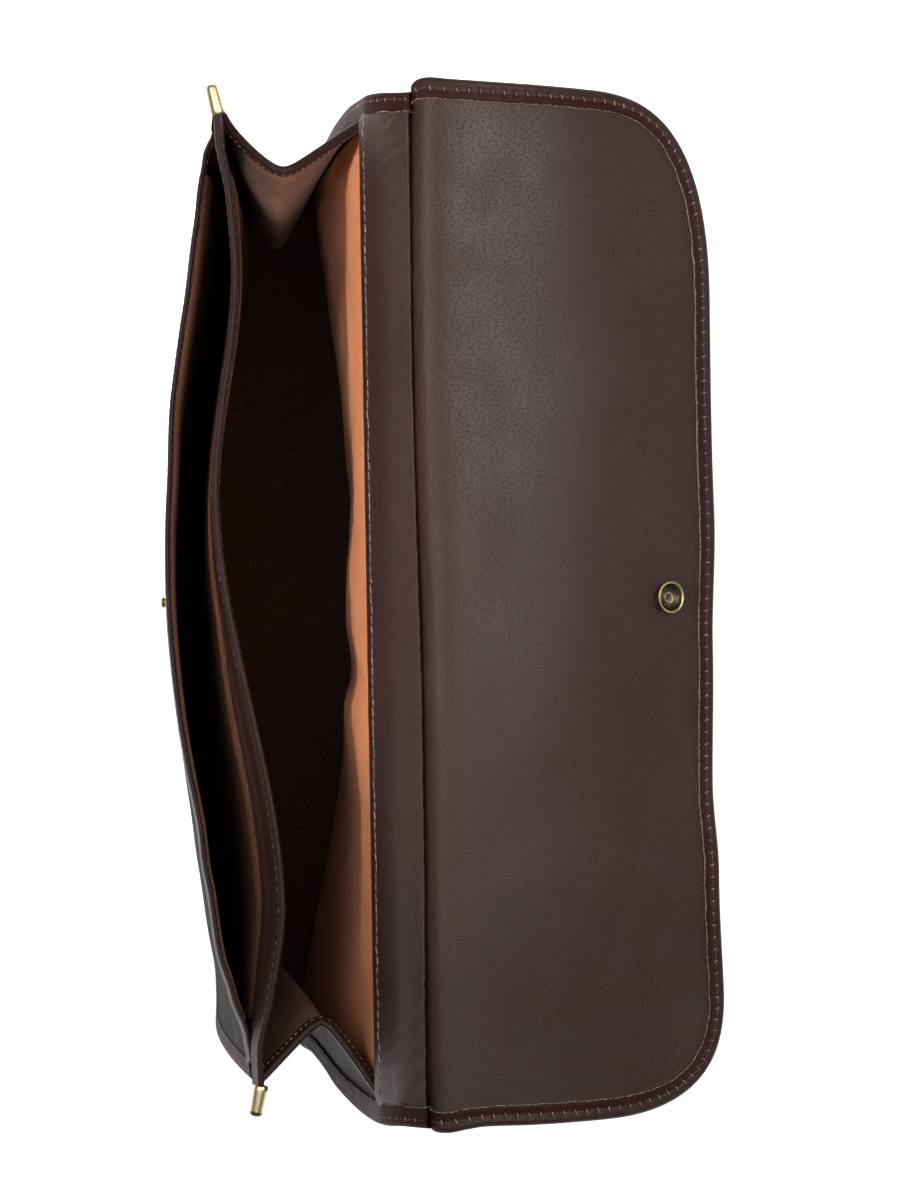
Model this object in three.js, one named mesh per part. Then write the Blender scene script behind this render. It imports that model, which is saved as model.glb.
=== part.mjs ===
// A soft leather briefcase, standing open on its bound bottom edges with the flap laid back.
// Millimetres, +Z up. X runs along the length, -Y is the front with the pocket, +Y the side of the flap.
import * as THREE from "three";

// Lengths and heights
const BACK_HALF = 217;
const FRONT_HALF = 209;
const FLAP_HALF = 221.5;
const STRIP_HALF = 206;
const CORNER_RADIUS = 30;
const FRONT_RIM = 250;
const DIVIDER_RIM = 261;
const FLARE_START = 255;
const FLARE_LENGTH = 34;
const BACK_RIM = FLARE_START + FLARE_LENGTH;
const FLAP_RUN = 144;
const STRIP_TOP = 232;
const POCKET_BAND = 239;
const WALL_TOP = 206;

// Leather and cloth
const GAP = 0.3;
const SLACK = 0.2;
const FRONT_LEATHER = 1.6;
const DIVIDER_LEATHER = 1.8;
const GUSSET_LEATHER = 1.2;
const BACK_LEATHER = 1.8;
const FACING_LEATHER = 1.2;
const FLAP_OUTER = 1.4;
const FLAP_INNER = 1.2;
const CLOTH = 1;
const STRIP_LEATHER = 0.8;
const BINDING_WIDTH = 8.5;
const HEM_DEPTH = 8;
const GUSSET_HEM_DEPTH = 5;
const FLANGE = { front: 5, foot: 10, back: 10, edge: 1.6, blend: 120 };
const FRONT_INNER_WIDTH = 4;
const LINING_INSET = 13.5;

// Seam allowance along a wall's ends, and where the divider steps off the front to leave the pocket
const SEAM_WIDTH = 11;
const POCKET_START = 13;
const POCKET_STEP = 5;

// How far the front's rim is racked along the length against its foot
const FRONT_RACK = -5;

// Roundness of a wall's plan bulge, and how late a wall leaves the upright on its way to the rim
const BULGE_POWER = 1.5;
const UPRIGHT_POWER = 1.4;

// Plan curves of the walls: the line through the two ends, its skew per millimetre, and the bulge between
const FRONT_FOOT = { line: -24, skew: -0.05, bulge: -19 };
const FRONT_MOUTH = { line: -9.9, skew: 0.018, bulge: -27.1 };
const BACK_FOOT = { line: 15, skew: -0.035, bulge: 25 };
const FRONT_BELLY = -3;
const BACK_TOP = 54.3;

// Lean of the back wall from upright where its flare begins and at its rim, in degrees
const FLARE_LEAN = { start: 8, rim: 58 };

// Waves of the divider's rim, as offsets towards the back
const DIVIDER_WAVES = [
  { across: -196, offset: 0 },
  { across: -143, offset: 2 },
  { across: -40, offset: -10 },
  { across: 132, offset: 11.5 },
  { across: 196, offset: 0 },
];

// Loose folds of the back lining, as heights off the wall
const LINING_FOLDS = [
  { across: -206, proud: 0 },
  { across: -110, proud: 2.5 },
  { across: -60, proud: 0.5 },
  { across: 5, proud: 4 },
  { across: 31, proud: 0.4 },
  { across: 46, proud: 5 },
  { across: 90, proud: 0.6 },
  { across: 150, proud: 2 },
  { across: 206, proud: 0 },
];

// Depth of the inward fold of each end, by the rise along its seam from the foot
const FOLD_LEFT = [
  { rise: 0, depth: -3 },
  { rise: 90, depth: 8 },
  { rise: 180, depth: 18 },
  { rise: 270, depth: 18 },
];
const FOLD_RIGHT = [
  { rise: 0, depth: -3 },
  { rise: 90, depth: 1 },
  { rise: 180, depth: 6 },
  { rise: 270, depth: 25 },
];
const FOLD_DIP = { left: 18, right: 8, fade: 75 };
const CREASE_ROUND = 0.18;
const BASE_SAG = -3;

// Rise (positive) and droop of the flap along its run from the back rim, in degrees
const FLAP_SLOPES = [
  { run: 0, tilt: 32 },
  { run: 13, tilt: -30 },
  { run: 26, tilt: -20 },
  { run: 50, tilt: -24 },
  { run: 100, tilt: -34 },
  { run: 150, tilt: -39 },
];
const FLAP_CORNERS = {
  left: { across: 76, run: 52 },
  right: { across: 52, run: 39 },
};
const CORNER_DROOP = 5;
const HINGE = { inset: 4, run: 4, start: 0.5 };
const FLAP_STEP = 0.5;

// Metal
const SNAP_RUN = 119.5;
const SNAP_ACROSS = -1.8;
const STUD_HEIGHT = 180;
const SNAP_RADIUS = 7;
const TIP = { root: 3.3, end: 2.2, length: 12, yawLeft: -0.3, yawRight: -0.05 };
const TURN_SEGMENTS = 16;

const radians = THREE.MathUtils.degToRad;
const lerp = THREE.MathUtils.lerp;
const smooth = (value) => THREE.MathUtils.smoothstep(value, 0, 1);

// Evenly spaced values from one number to another, both included
function steps(from, to, count) {
  return Array.from({ length: count + 1 }, (_, i) => lerp(from, to, i / count));
}

// Value of a table's column at a key, eased from row to row
function eased(rows, key, column, at) {
  if (at <= rows[0][key]) {
    return rows[0][column];
  }
  for (let i = 1; i < rows.length; i += 1) {
    if (at <= rows[i][key]) {
      const share = (at - rows[i - 1][key]) / (rows[i][key] - rows[i - 1][key]);
      return lerp(rows[i - 1][column], rows[i][column], smooth(share));
    }
  }
  return rows[rows.length - 1][column];
}

// Plan bulge of a wall, one in the middle and none along its end seams
function bulge(across, half) {
  return Math.max(0, 1 - (across / (half - SEAM_WIDTH)) ** 2) ** BULGE_POWER;
}

function planLine(curve, across, half) {
  return curve.line + curve.skew * across + curve.bulge * bulge(across, half);
}

// Share of the way from foot to rim, starting upright at the foot
function uprightShare(share) {
  return Math.max(0, share) ** UPRIGHT_POWER;
}

// Outer leather of the front pocket
function frontSurface(across, climb) {
  const share = uprightShare(climb / FRONT_RIM);
  const foot = planLine(FRONT_FOOT, across, FRONT_HALF);
  const mouth = planLine(FRONT_MOUTH, across, FRONT_HALF);
  const belly = FRONT_BELLY * Math.sin(Math.PI * climb / FRONT_RIM) ** 2 * bulge(across, FRONT_HALF);
  return new THREE.Vector3(across + FRONT_RACK * share, lerp(foot, mouth, share) + belly, climb);
}

// Distance of a point on a panel from the panel's outline
function insetOf(half, across, climb) {
  const side = half - Math.abs(across);
  if (side >= CORNER_RADIUS || climb >= CORNER_RADIUS) {
    return Math.min(side, climb);
  }
  return CORNER_RADIUS - Math.hypot(CORNER_RADIUS - side, CORNER_RADIUS - climb);
}

// Wall between the pocket and the main compartment, sewn to the front along its sides and foot
const SEAM_SPACING = FRONT_LEATHER / 2 + GAP + DIVIDER_LEATHER / 2;
const POCKET_SPACING = 2 * CLOTH + 2 * GAP;

function dividerSurface(across, climb) {
  const share = uprightShare(climb / FRONT_RIM);
  const foot = planLine(FRONT_FOOT, across, FRONT_HALF);
  const mouth = FRONT_MOUTH.line + FRONT_MOUTH.skew * across;
  const wave = eased(DIVIDER_WAVES, "across", "offset", across);
  const inner = smooth((insetOf(FRONT_HALF, across, climb) - POCKET_START) / POCKET_STEP);
  const spacing = SEAM_SPACING + POCKET_SPACING * inner;
  return new THREE.Vector3(
    across + FRONT_RACK * share,
    lerp(foot, mouth + wave, share) + spacing,
    climb,
  );
}

// Back wall: leaning up to the start of its flare, then bending outwards to the rim
function backSurface(across, climb) {
  const foot = planLine(BACK_FOOT, across, BACK_HALF);
  const start = radians(FLARE_LEAN.start);
  if (climb <= FLARE_START) {
    const t = climb / FLARE_START;
    const rise = BACK_TOP - foot;
    const end = Math.tan(start) * FLARE_START;
    const y = foot + rise * (3 * t * t - 2 * t ** 3) + end * (t ** 3 - t * t);
    return new THREE.Vector3(across, y, climb);
  }
  const bend = radians(FLARE_LEAN.rim - FLARE_LEAN.start);
  const radius = FLARE_LENGTH / bend;
  const lean = start + (climb - FLARE_START) / radius;
  return new THREE.Vector3(
    across,
    BACK_TOP + radius * (Math.cos(start) - Math.cos(lean)),
    FLARE_START + radius * (Math.sin(lean) - Math.sin(start)),
  );
}

// A wall is a flat pattern bent into place; lift is measured off its middle surface along the normal,
// which points to the front on upright walls and upwards on the opened flap.
function bent(surface, d = 0.05) {
  const e = 0.05;
  return (across, climb, lift) => {
    const along = surface(across + d, climb).sub(surface(across - d, climb));
    const up = surface(across, climb + e).sub(surface(across, climb - e));
    return surface(across, climb).addScaledVector(along.cross(up).normalize(), lift);
  };
}

const front = bent(frontSurface);
const divider = bent(dividerSurface);
const back = bent(backSurface);

// Flap: a strip sewn to the outside of the back wall, then the free part bending over the rim
const FLAP_OFFSET = -(BACK_LEATHER / 2 + GAP + FLAP_INNER + GAP / 2);

function tiltAt(run) {
  for (let i = 1; i < FLAP_SLOPES.length; i += 1) {
    if (run <= FLAP_SLOPES[i].run) {
      const from = FLAP_SLOPES[i - 1];
      const to = FLAP_SLOPES[i];
      return radians(lerp(from.tilt, to.tilt, (run - from.run) / (to.run - from.run)));
    }
  }
  return radians(FLAP_SLOPES[FLAP_SLOPES.length - 1].tilt);
}

const flapProfile = [{ out: 0, rise: 0 }];
for (let run = 0; run < FLAP_RUN + 2; run += FLAP_STEP) {
  const last = flapProfile[flapProfile.length - 1];
  const tilt = tiltAt(run + FLAP_STEP / 2);
  flapProfile.push({
    out: last.out + FLAP_STEP * Math.cos(tilt),
    rise: last.rise + FLAP_STEP * Math.sin(tilt),
  });
}

function flapSurface(across, run) {
  if (run <= 0) {
    return back(across, BACK_RIM + run, FLAP_OFFSET);
  }
  const i = Math.floor(run / FLAP_STEP);
  const share = run / FLAP_STEP - i;
  const from = flapProfile[i];
  const to = flapProfile[i + 1];
  const droop = CORNER_DROOP * (across / FLAP_HALF) ** 4 * (run / FLAP_RUN) ** 2;
  const rim = back(across, BACK_RIM, FLAP_OFFSET);
  rim.y += lerp(from.out, to.out, share);
  rim.z += lerp(from.rise, to.rise, share) - droop;
  return rim;
}

const flap = bent(flapSurface);

// Grid lines shared by the pieces of the body
const CORNER_TURNS = steps(0, 90, 4);
const WALL_CLIMBS = steps(CORNER_RADIUS, WALL_TOP, 4);
const SEAM_COLUMN = 0.95;
const LINING_COLUMN = 0.92;
const LINING_COLUMNS = steps(-LINING_COLUMN, LINING_COLUMN, 14);
const PANEL_COLUMNS = [-1, -SEAM_COLUMN, ...LINING_COLUMNS, SEAM_COLUMN, 1];

// Half width of a panel with rounded lower corners, inset from its outline
function panelHalf(half, inset) {
  return (climb) => {
    const reach = CORNER_RADIUS - inset;
    const drop = THREE.MathUtils.clamp(CORNER_RADIUS - climb, 0, reach);
    return half - CORNER_RADIUS + Math.sqrt(reach * reach - drop * drop);
  };
}

// Heights of a panel's rows: round the lower corners, then up the wall to the given tops
function panelRows(inset, tops) {
  const reach = CORNER_RADIUS - inset;
  const corner = CORNER_TURNS.map((turn) => CORNER_RADIUS - reach * Math.cos(radians(turn)));
  return [...corner, ...WALL_CLIMBS.slice(1), ...tops];
}

// Turn of a free corner of the flap reached at a run, from none on its side to a right angle on its edge
function cornerTurn(corner, run, inset) {
  const share = (run - FLAP_RUN + corner.run) / (corner.run - inset);
  return Math.asin(THREE.MathUtils.clamp(share, 0, 1));
}

// Half width of the flap on one side: the sewn strip, then full width with a rounded free corner
function flapHalf(inset) {
  return (run, sign) => {
    if (run <= HINGE.start) {
      return STRIP_HALF;
    }
    const corner = sign < 0 ? FLAP_CORNERS.left : FLAP_CORNERS.right;
    const hinge = HINGE.inset * Math.max(0, 1 - (run - HINGE.start) / HINGE.run) ** 2;
    const turn = cornerTurn(corner, run, inset);
    return FLAP_HALF - inset - hinge - (corner.across - inset) * (1 - Math.cos(turn));
  };
}

// Runs of the flap's rows: the strip, the bend over the rim, the hang, then round the free corners
const STRIP_ROWS = [STRIP_TOP - BACK_RIM, ...steps(-FLARE_LENGTH, 0, 4).slice(0, -1), 0.4];
const BEND_ROWS = [1.4, 4.5, 8.5, 13, 26, 55];
const corners = steps(0, 90, 6).map((turn) => {
  const reach = FLAP_CORNERS.left.run - STRIP_LEATHER - GAP;
  return FLAP_RUN - FLAP_CORNERS.left.run + reach * Math.sin(radians(turn));
});
const FREE_ROWS = [...BEND_ROWS, ...corners];

// A closed triangle mesh, turned to face outwards
function solid(points, triangles) {
  const corner = (i) => points[triangles[i]];
  let volume = 0;
  for (let i = 0; i < triangles.length; i += 3) {
    volume += corner(i).dot(corner(i + 1).clone().cross(corner(i + 2)));
  }
  const index = volume < 0 ? triangles.slice().reverse() : triangles;
  const geometry = new THREE.BufferGeometry().setFromPoints(points);
  geometry.setIndex(index);
  geometry.computeVertexNormals();
  return geometry;
}

// A sheet between two lifts of a grid of points
function gridSolid(columns, rows, place) {
  const points = [];
  const triangles = [];
  const at = (side, j, i) => (side * rows + j) * columns + i;
  const quad = (a, b, c, d) => triangles.push(a, b, c, a, c, d);
  for (let side = 0; side < 2; side += 1) {
    for (let j = 0; j < rows; j += 1) {
      for (let i = 0; i < columns; i += 1) {
        points.push(place(i, j, side));
      }
    }
  }
  for (let j = 0; j + 1 < rows; j += 1) {
    for (let i = 0; i + 1 < columns; i += 1) {
      quad(at(0, j, i), at(0, j + 1, i), at(0, j + 1, i + 1), at(0, j, i + 1));
      quad(at(1, j, i), at(1, j, i + 1), at(1, j + 1, i + 1), at(1, j + 1, i));
    }
    quad(at(0, j, 0), at(1, j, 0), at(1, j + 1, 0), at(0, j + 1, 0));
    quad(at(1, j, columns - 1), at(0, j, columns - 1), at(0, j + 1, columns - 1), at(1, j + 1, columns - 1));
  }
  for (let i = 0; i + 1 < columns; i += 1) {
    quad(at(1, 0, i), at(0, 0, i), at(0, 0, i + 1), at(1, 0, i + 1));
    quad(at(0, rows - 1, i), at(1, rows - 1, i), at(1, rows - 1, i + 1), at(0, rows - 1, i + 1));
  }
  return solid(points, triangles);
}

// A sheet on a wall: rows at given climbs, as wide as the half width there, between two lifts
function wallSheet(wall, halfAt, climbs, columns, low, high, proud = () => 0) {
  return gridSolid(columns.length, climbs.length, (i, j, side) => {
    const across = columns[i] * halfAt(climbs[j], columns[i]);
    return wall(across, climbs[j], (side ? high : low) + proud(across, climbs[j]));
  });
}

// A leather strip folded over an edge. The path gives edge points with their inward direction on the
// flat pattern; the strip's two inner faces lie at the lifts low and high, each with its own width.
function foldedStrip(wall, path, width, low, high, lowWidth = width) {
  const thick = STRIP_LEATHER;
  const section = [
    [0, high + thick],
    [width, high + thick],
    [width, high],
    [thick, high],
    [thick, low],
    [lowWidth, low],
    [lowWidth, low - thick],
    [0, low - thick],
  ];
  const points = [];
  const triangles = [];
  path.forEach((edge) => {
    section.forEach(([inset, lift]) => {
      points.push(wall(edge.across + edge.inAcross * inset, edge.climb + edge.inClimb * inset, lift));
    });
  });
  const count = section.length;
  for (let k = 0; k + 1 < path.length; k += 1) {
    for (let i = 0; i < count; i += 1) {
      const a = k * count + i;
      const b = k * count + ((i + 1) % count);
      triangles.push(a, b, b + count, a, b + count, a + count);
    }
  }
  const last = (path.length - 1) * count;
  const quads = [
    [0, 1, 2, 3],
    [0, 3, 4, 7],
    [7, 4, 5, 6],
  ];
  quads.forEach(([a, b, c, d]) => {
    triangles.push(a, c, b, a, d, c);
    triangles.push(last + a, last + b, last + c, last + a, last + c, last + d);
  });
  return solid(points, triangles);
}

// Edge path of a panel: down one side, round the lower corners, along the foot and up the other side
function panelPath(half, tops) {
  const climbs = [...WALL_CLIMBS, ...tops].reverse();
  const right = climbs.map((climb) => ({ across: half, climb, inAcross: -1, inClimb: 0 }));
  CORNER_TURNS.slice(0, -1).reverse().forEach((turn) => {
    const sin = Math.sin(radians(turn));
    const cos = Math.cos(radians(turn));
    right.push({
      across: half - CORNER_RADIUS + CORNER_RADIUS * sin,
      climb: CORNER_RADIUS - CORNER_RADIUS * cos,
      inAcross: -sin,
      inClimb: cos,
    });
  });
  const left = right.map((edge) => ({ ...edge, across: -edge.across, inAcross: -edge.inAcross }));
  const foot = PANEL_COLUMNS.slice(1, -1).reverse();
  const along = foot.map((share) => ({
    across: share * (half - CORNER_RADIUS),
    climb: 0,
    inAcross: 0,
    inClimb: 1,
  }));
  return [...right, ...along, ...left.reverse()];
}

// Edge path along a straight rim
function rimPath(columns, half, climb) {
  return columns.map((share) => ({ across: share * half, climb, inAcross: 0, inClimb: -1 }));
}

// Edge path of one side of the flap, out from the bend and round its free corner
function flapSide(sign) {
  const corner = sign < 0 ? FLAP_CORNERS.left : FLAP_CORNERS.right;
  const outline = flapHalf(0);
  return FREE_ROWS.map((run) => {
    const turn = cornerTurn(corner, run, STRIP_LEATHER + GAP);
    if (turn === 0) {
      return { across: sign * outline(run, sign), climb: run, inAcross: -sign, inClimb: 0 };
    }
    const cos = Math.cos(turn);
    const sin = Math.sin(turn);
    const normal = Math.hypot(corner.run * cos, corner.across * sin);
    return {
      across: sign * (FLAP_HALF - corner.across * (1 - cos)),
      climb: FLAP_RUN - corner.run * (1 - sin),
      inAcross: (-sign * corner.run * cos) / normal,
      inClimb: (-corner.across * sin) / normal,
    };
  });
}

// Edge path of the whole flap: out along one side, along the free edge and back along the other side
function flapPath() {
  const right = flapSide(1);
  const left = flapSide(-1).reverse();
  const free = steps(right[right.length - 1].across, left[0].across, 8).slice(1, -1);
  const along = free.map((across) => ({ across, climb: FLAP_RUN, inAcross: 0, inClimb: -1 }));
  return [...right, ...along, ...left];
}

// Point on a side seam and its inward direction, by the rise along the seam from the foot
const CORNER_ARC = (CORNER_RADIUS * Math.PI) / 2;

function seam(half, sign, rise) {
  const turn = radians(90 * Math.min(1, rise / CORNER_ARC));
  return {
    across: sign * (half - CORNER_RADIUS * (1 - Math.sin(turn))),
    climb: CORNER_RADIUS * (1 - Math.cos(turn)) + Math.max(0, rise - CORNER_ARC),
    inAcross: -sign * Math.sin(turn),
    inClimb: Math.cos(turn),
  };
}

const FRONT_FLANGE = -(DIVIDER_LEATHER / 2 + GAP + GUSSET_LEATHER / 2);
const BACK_FLANGE = BACK_LEATHER / 2 + GAP + GUSSET_LEATHER / 2;
const GUSSET_TOP = DIVIDER_RIM - HEM_DEPTH - GAP;
const GUSSET_RISE = GUSSET_TOP - CORNER_RADIUS + CORNER_ARC;

function onSeam(wall, edge, inset, lift) {
  return wall(edge.across + edge.inAcross * inset, edge.climb + edge.inClimb * inset, lift);
}

// Rounded fold across a gusset, one on its crease and none at its seams
function crease(share) {
  const reach = (value) => Math.hypot(value, CREASE_ROUND) - CREASE_ROUND;
  return 1 - reach(2 * share - 1) / reach(1);
}

// Strip of gusset between the two seams. Across runs from -1 to 2: the front flange below 0, the folded
// span from 0 to 1, the back flange above 1.
function between(across, frontEdge, backEdge, flange, depth, dip) {
  if (across < 0) {
    return onSeam(divider, frontEdge, lerp(flange, FLANGE.edge, -across), FRONT_FLANGE);
  }
  if (across > 1) {
    return onSeam(back, backEdge, lerp(FLANGE.back, FLANGE.edge, across - 1), BACK_FLANGE);
  }
  const from = onSeam(divider, frontEdge, flange, FRONT_FLANGE);
  const to = onSeam(back, backEdge, FLANGE.back, BACK_FLANGE);
  const inward = new THREE.Vector3(frontEdge.inAcross, 0, frontEdge.inClimb);
  const point = from.lerp(to, across).addScaledVector(inward, depth * crease(across));
  point.z -= dip * crease(across);
  return point;
}

function gussetSurface(sign) {
  const folds = sign < 0 ? FOLD_LEFT : FOLD_RIGHT;
  const dip = sign < 0 ? FOLD_DIP.left : FOLD_DIP.right;
  return (across, rise) => {
    const frontEdge = seam(FRONT_HALF, sign, rise);
    const backEdge = seam(BACK_HALF, sign, rise);
    const fade = Math.max(0, 1 - (GUSSET_RISE - rise) / FOLD_DIP.fade) ** 2;
    const flange = lerp(FLANGE.foot, FLANGE.front, smooth(rise / FLANGE.blend));
    const depth = eased(folds, "rise", "depth", rise);
    return between(across, frontEdge, backEdge, flange, depth, dip * fade);
  };
}

function baseSurface(across, share) {
  const edge = (half) => ({
    across: share * (half - CORNER_RADIUS),
    climb: 0,
    inAcross: 0,
    inClimb: 1,
  });
  return between(across, edge(FRONT_HALF), edge(BACK_HALF), FLANGE.foot, BASE_SAG, 0);
}

const CREASE_COLUMNS = [-1, 0, 0.06, 0.2, 0.35, 0.45, 0.5, 0.55, 0.65, 0.8, 0.94, 1, 2];
const BASE_COLUMNS = [-1, 0, 0.25, 0.5, 0.75, 1, 2];

// A folded sheet whose normals are taken between neighbouring grid points, so flange corners stay clean
function foldedSheet(surface, rows, columns) {
  const grid = rows.map((row) => columns.map((across) => surface(across, row)));
  const pick = (j, i) => {
    const row = grid[THREE.MathUtils.clamp(j, 0, rows.length - 1)];
    return row[THREE.MathUtils.clamp(i, 0, columns.length - 1)];
  };
  return gridSolid(columns.length, rows.length, (i, j, side) => {
    const along = pick(j, i + 1).clone().sub(pick(j, i - 1));
    const down = pick(j + 1, i).clone().sub(pick(j - 1, i));
    const normal = along.cross(down).normalize();
    return grid[j][i].clone().addScaledVector(normal, (side - 0.5) * GUSSET_LEATHER);
  });
}

const GUSSET_ROWS = [
  ...CORNER_TURNS.map((turn) => (turn / 90) * CORNER_ARC),
  ...WALL_CLIMBS.slice(1).map((climb) => climb - CORNER_RADIUS + CORNER_ARC),
  GUSSET_RISE - GUSSET_HEM_DEPTH,
  GUSSET_RISE,
];
const BASE_END = 1 - GAP / (FRONT_HALF - CORNER_RADIUS);
const BASE_ROWS = [-BASE_END, ...PANEL_COLUMNS.slice(1, -1), BASE_END];

// Bound top edge of a gusset, between its two flanges
function gussetHem(sign) {
  const path = CREASE_COLUMNS.slice(2, -2).map((across) => ({
    across,
    climb: GUSSET_RISE + GAP + STRIP_LEATHER,
    inAcross: 0,
    inClimb: -1,
  }));
  const half = GUSSET_LEATHER / 2 + GAP;
  return foldedStrip(bent(gussetSurface(sign), 0.01), path, GUSSET_HEM_DEPTH, -half, half);
}

// A turned piece standing on a point, its axis along a direction
function turned(profile, origin, direction) {
  const outline = profile.map(([radius, height]) => new THREE.Vector2(radius, height));
  const geometry = new THREE.LatheGeometry(outline, TURN_SEGMENTS);
  const turn = new THREE.Quaternion().setFromUnitVectors(new THREE.Vector3(0, 1, 0), direction);
  geometry.applyQuaternion(turn);
  geometry.translate(origin.x, origin.y, origin.z);
  return geometry;
}

// A turned piece seated on a wall, off its middle surface by a lift
function seated(profile, wall, across, climb, lift) {
  const origin = wall(across, climb, lift);
  const direction = wall(across, climb, lift + Math.sign(lift)).sub(origin).normalize();
  return turned(profile, origin, direction);
}

const SOCKET_PROFILE = [
  [0, 0],
  [6.2, 0],
  [SNAP_RADIUS, 0.7],
  [SNAP_RADIUS, 1.6],
  [6.4, 2.1],
  [5.7, 1.7],
  [4.9, 0.9],
  [2.7, 0.7],
  [2.4, 1.7],
  [1.5, 1.7],
  [1.4, 0.5],
  [0, 0.5],
];
const CAP_PROFILE = [
  [0, 0],
  [SNAP_RADIUS, 0],
  [SNAP_RADIUS + 0.5, 0.6],
  [6, 1.9],
  [3, 2.6],
  [0, 2.8],
];
const STUD_PROFILE = [
  [0, 0],
  [4.6, 0],
  [4.8, 0.6],
  [4.4, 1.2],
  [2.4, 1.5],
  [2.1, 2.4],
  [2.5, 3.3],
  [1.9, 4],
  [0, 4.2],
];
const TIP_PROFILE = [
  [0, 0],
  [TIP.root, 0],
  [lerp(TIP.root, TIP.end, 0.5), TIP.length * 0.55],
  [TIP.end, TIP.length * 0.88],
  [TIP.end * 0.7, TIP.length * 0.98],
  [0, TIP.length],
];

// Brass ferrule on an end of the divider's rolled rim
function tip(sign) {
  const height = DIVIDER_RIM - HEM_DEPTH / 2 + STRIP_LEATHER;
  const yaw = sign < 0 ? TIP.yawLeft : TIP.yawRight;
  const end = FRONT_HALF - STRIP_LEATHER + TIP.root * Math.abs(yaw);
  const origin = divider(sign * end, height, 0);
  return turned(TIP_PROFILE, origin, new THREE.Vector3(sign, yaw, 0).normalize());
}

// Half widths, rows and lifts shared by the pieces
const EDGE = STRIP_LEATHER + GAP;
const FRONT_BAND = FRONT_RIM + EDGE - HEM_DEPTH - GAP;
const DIVIDER_BAND = DIVIDER_RIM - HEM_DEPTH - GAP;
const FLARE_ROWS = steps(FLARE_START, BACK_RIM, 4);
const BACK_TOPS = [STRIP_TOP, ...FLARE_ROWS];
const FRONT_STACK = FRONT_LEATHER / 2 + GAP + DIVIDER_LEATHER + GAP + GUSSET_LEATHER + GAP + SLACK;
const frontHalf = panelHalf(FRONT_HALF, EDGE);
const backHalf = panelHalf(BACK_HALF, EDGE);
const onFront = FRONT_LEATHER / 2 + GAP;
const onDivider = DIVIDER_LEATHER / 2 + GAP;
const onBack = BACK_LEATHER / 2 + GAP;

// Proud folds of the back lining, strongest below the facing and fading to its foot
function liningFold(across, climb) {
  const share = (climb - CORNER_RADIUS) / (FLARE_START - CORNER_RADIUS);
  const swell = Math.sin(Math.PI * share ** 1.6);
  return eased(LINING_FOLDS, "across", "proud", across) * Math.max(0, swell);
}

const LEATHER = { color: 0x4a3a37, roughness: 0.5, metalness: 0 };
const TRIM = { color: 0x3e2a28, roughness: 0.55, metalness: 0 };
const SUEDE = { color: 0x6e4c40, roughness: 0.9, metalness: 0 };
const TAN_CLOTH = { color: 0xb4744e, roughness: 0.85, metalness: 0 };
const BRASS = { color: 0xb5924c, roughness: 0.3, metalness: 1 };

const bag = new THREE.Group();

function add(name, geometry, look) {
  const mesh = new THREE.Mesh(geometry, new THREE.MeshStandardMaterial(look));
  mesh.name = name;
  bag.add(mesh);
}

// Front pocket and divider
add("front_panel",
  wallSheet(front, frontHalf, panelRows(EDGE, [FRONT_BAND, FRONT_RIM]), PANEL_COLUMNS,
    -FRONT_LEATHER / 2, FRONT_LEATHER / 2), LEATHER);
add("front_lining",
  wallSheet(front, frontHalf, [...WALL_CLIMBS, FRONT_BAND], LINING_COLUMNS,
    -onFront - CLOTH, -onFront), TAN_CLOTH);
add("front_hem",
  foldedStrip(front, rimPath(LINING_COLUMNS, FRONT_HALF - EDGE, FRONT_RIM + EDGE), HEM_DEPTH,
    -onFront, onFront), LEATHER);
add("divider",
  wallSheet(divider, frontHalf, panelRows(EDGE, [POCKET_BAND, DIVIDER_BAND, DIVIDER_RIM - EDGE]),
    PANEL_COLUMNS, -DIVIDER_LEATHER / 2, DIVIDER_LEATHER / 2), LEATHER);
add("divider_pocket_lining",
  wallSheet(divider, frontHalf, [...WALL_CLIMBS, POCKET_BAND], LINING_COLUMNS,
    onDivider, onDivider + CLOTH), TAN_CLOTH);
add("divider_lining",
  wallSheet(divider, frontHalf, [...WALL_CLIMBS, POCKET_BAND, DIVIDER_BAND], LINING_COLUMNS,
    -onDivider - CLOTH, -onDivider), TAN_CLOTH);
add("divider_hem",
  foldedStrip(divider, rimPath(PANEL_COLUMNS, FRONT_HALF - EDGE, DIVIDER_RIM), HEM_DEPTH,
    -onDivider, onDivider), LEATHER);
add("tip_left", tip(-1), BRASS);
add("tip_right", tip(1), BRASS);

// Ends and base
add("gusset_left", foldedSheet(gussetSurface(-1), GUSSET_ROWS, CREASE_COLUMNS), SUEDE);
add("gusset_right", foldedSheet(gussetSurface(1), GUSSET_ROWS, CREASE_COLUMNS), SUEDE);
add("gusset_hem_left", gussetHem(-1), TRIM);
add("gusset_hem_right", gussetHem(1), TRIM);
add("base", foldedSheet(baseSurface, BASE_ROWS, BASE_COLUMNS), SUEDE);
add("front_binding",
  foldedStrip(front, panelPath(FRONT_HALF, [FRONT_BAND, FRONT_RIM]), BINDING_WIDTH,
    -FRONT_STACK, onFront, FRONT_INNER_WIDTH), TRIM);

// Back wall
add("back_panel",
  wallSheet(back, backHalf, panelRows(EDGE, BACK_TOPS), PANEL_COLUMNS,
    -BACK_LEATHER / 2, BACK_LEATHER / 2), LEATHER);
add("back_lining",
  wallSheet(back, panelHalf(BACK_HALF, LINING_INSET), [...WALL_CLIMBS, STRIP_TOP, FLARE_START - GAP],
    steps(-1, 1, 28), onBack, onBack + CLOTH, liningFold), TAN_CLOTH);
add("back_facing",
  wallSheet(back, backHalf, FLARE_ROWS, PANEL_COLUMNS, onBack, onBack + FACING_LEATHER), LEATHER);
add("back_binding",
  foldedStrip(back, panelPath(BACK_HALF, BACK_TOPS), BINDING_WIDTH,
    -onBack - SLACK, onBack + FACING_LEATHER + GAP + SLACK), TRIM);

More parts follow.
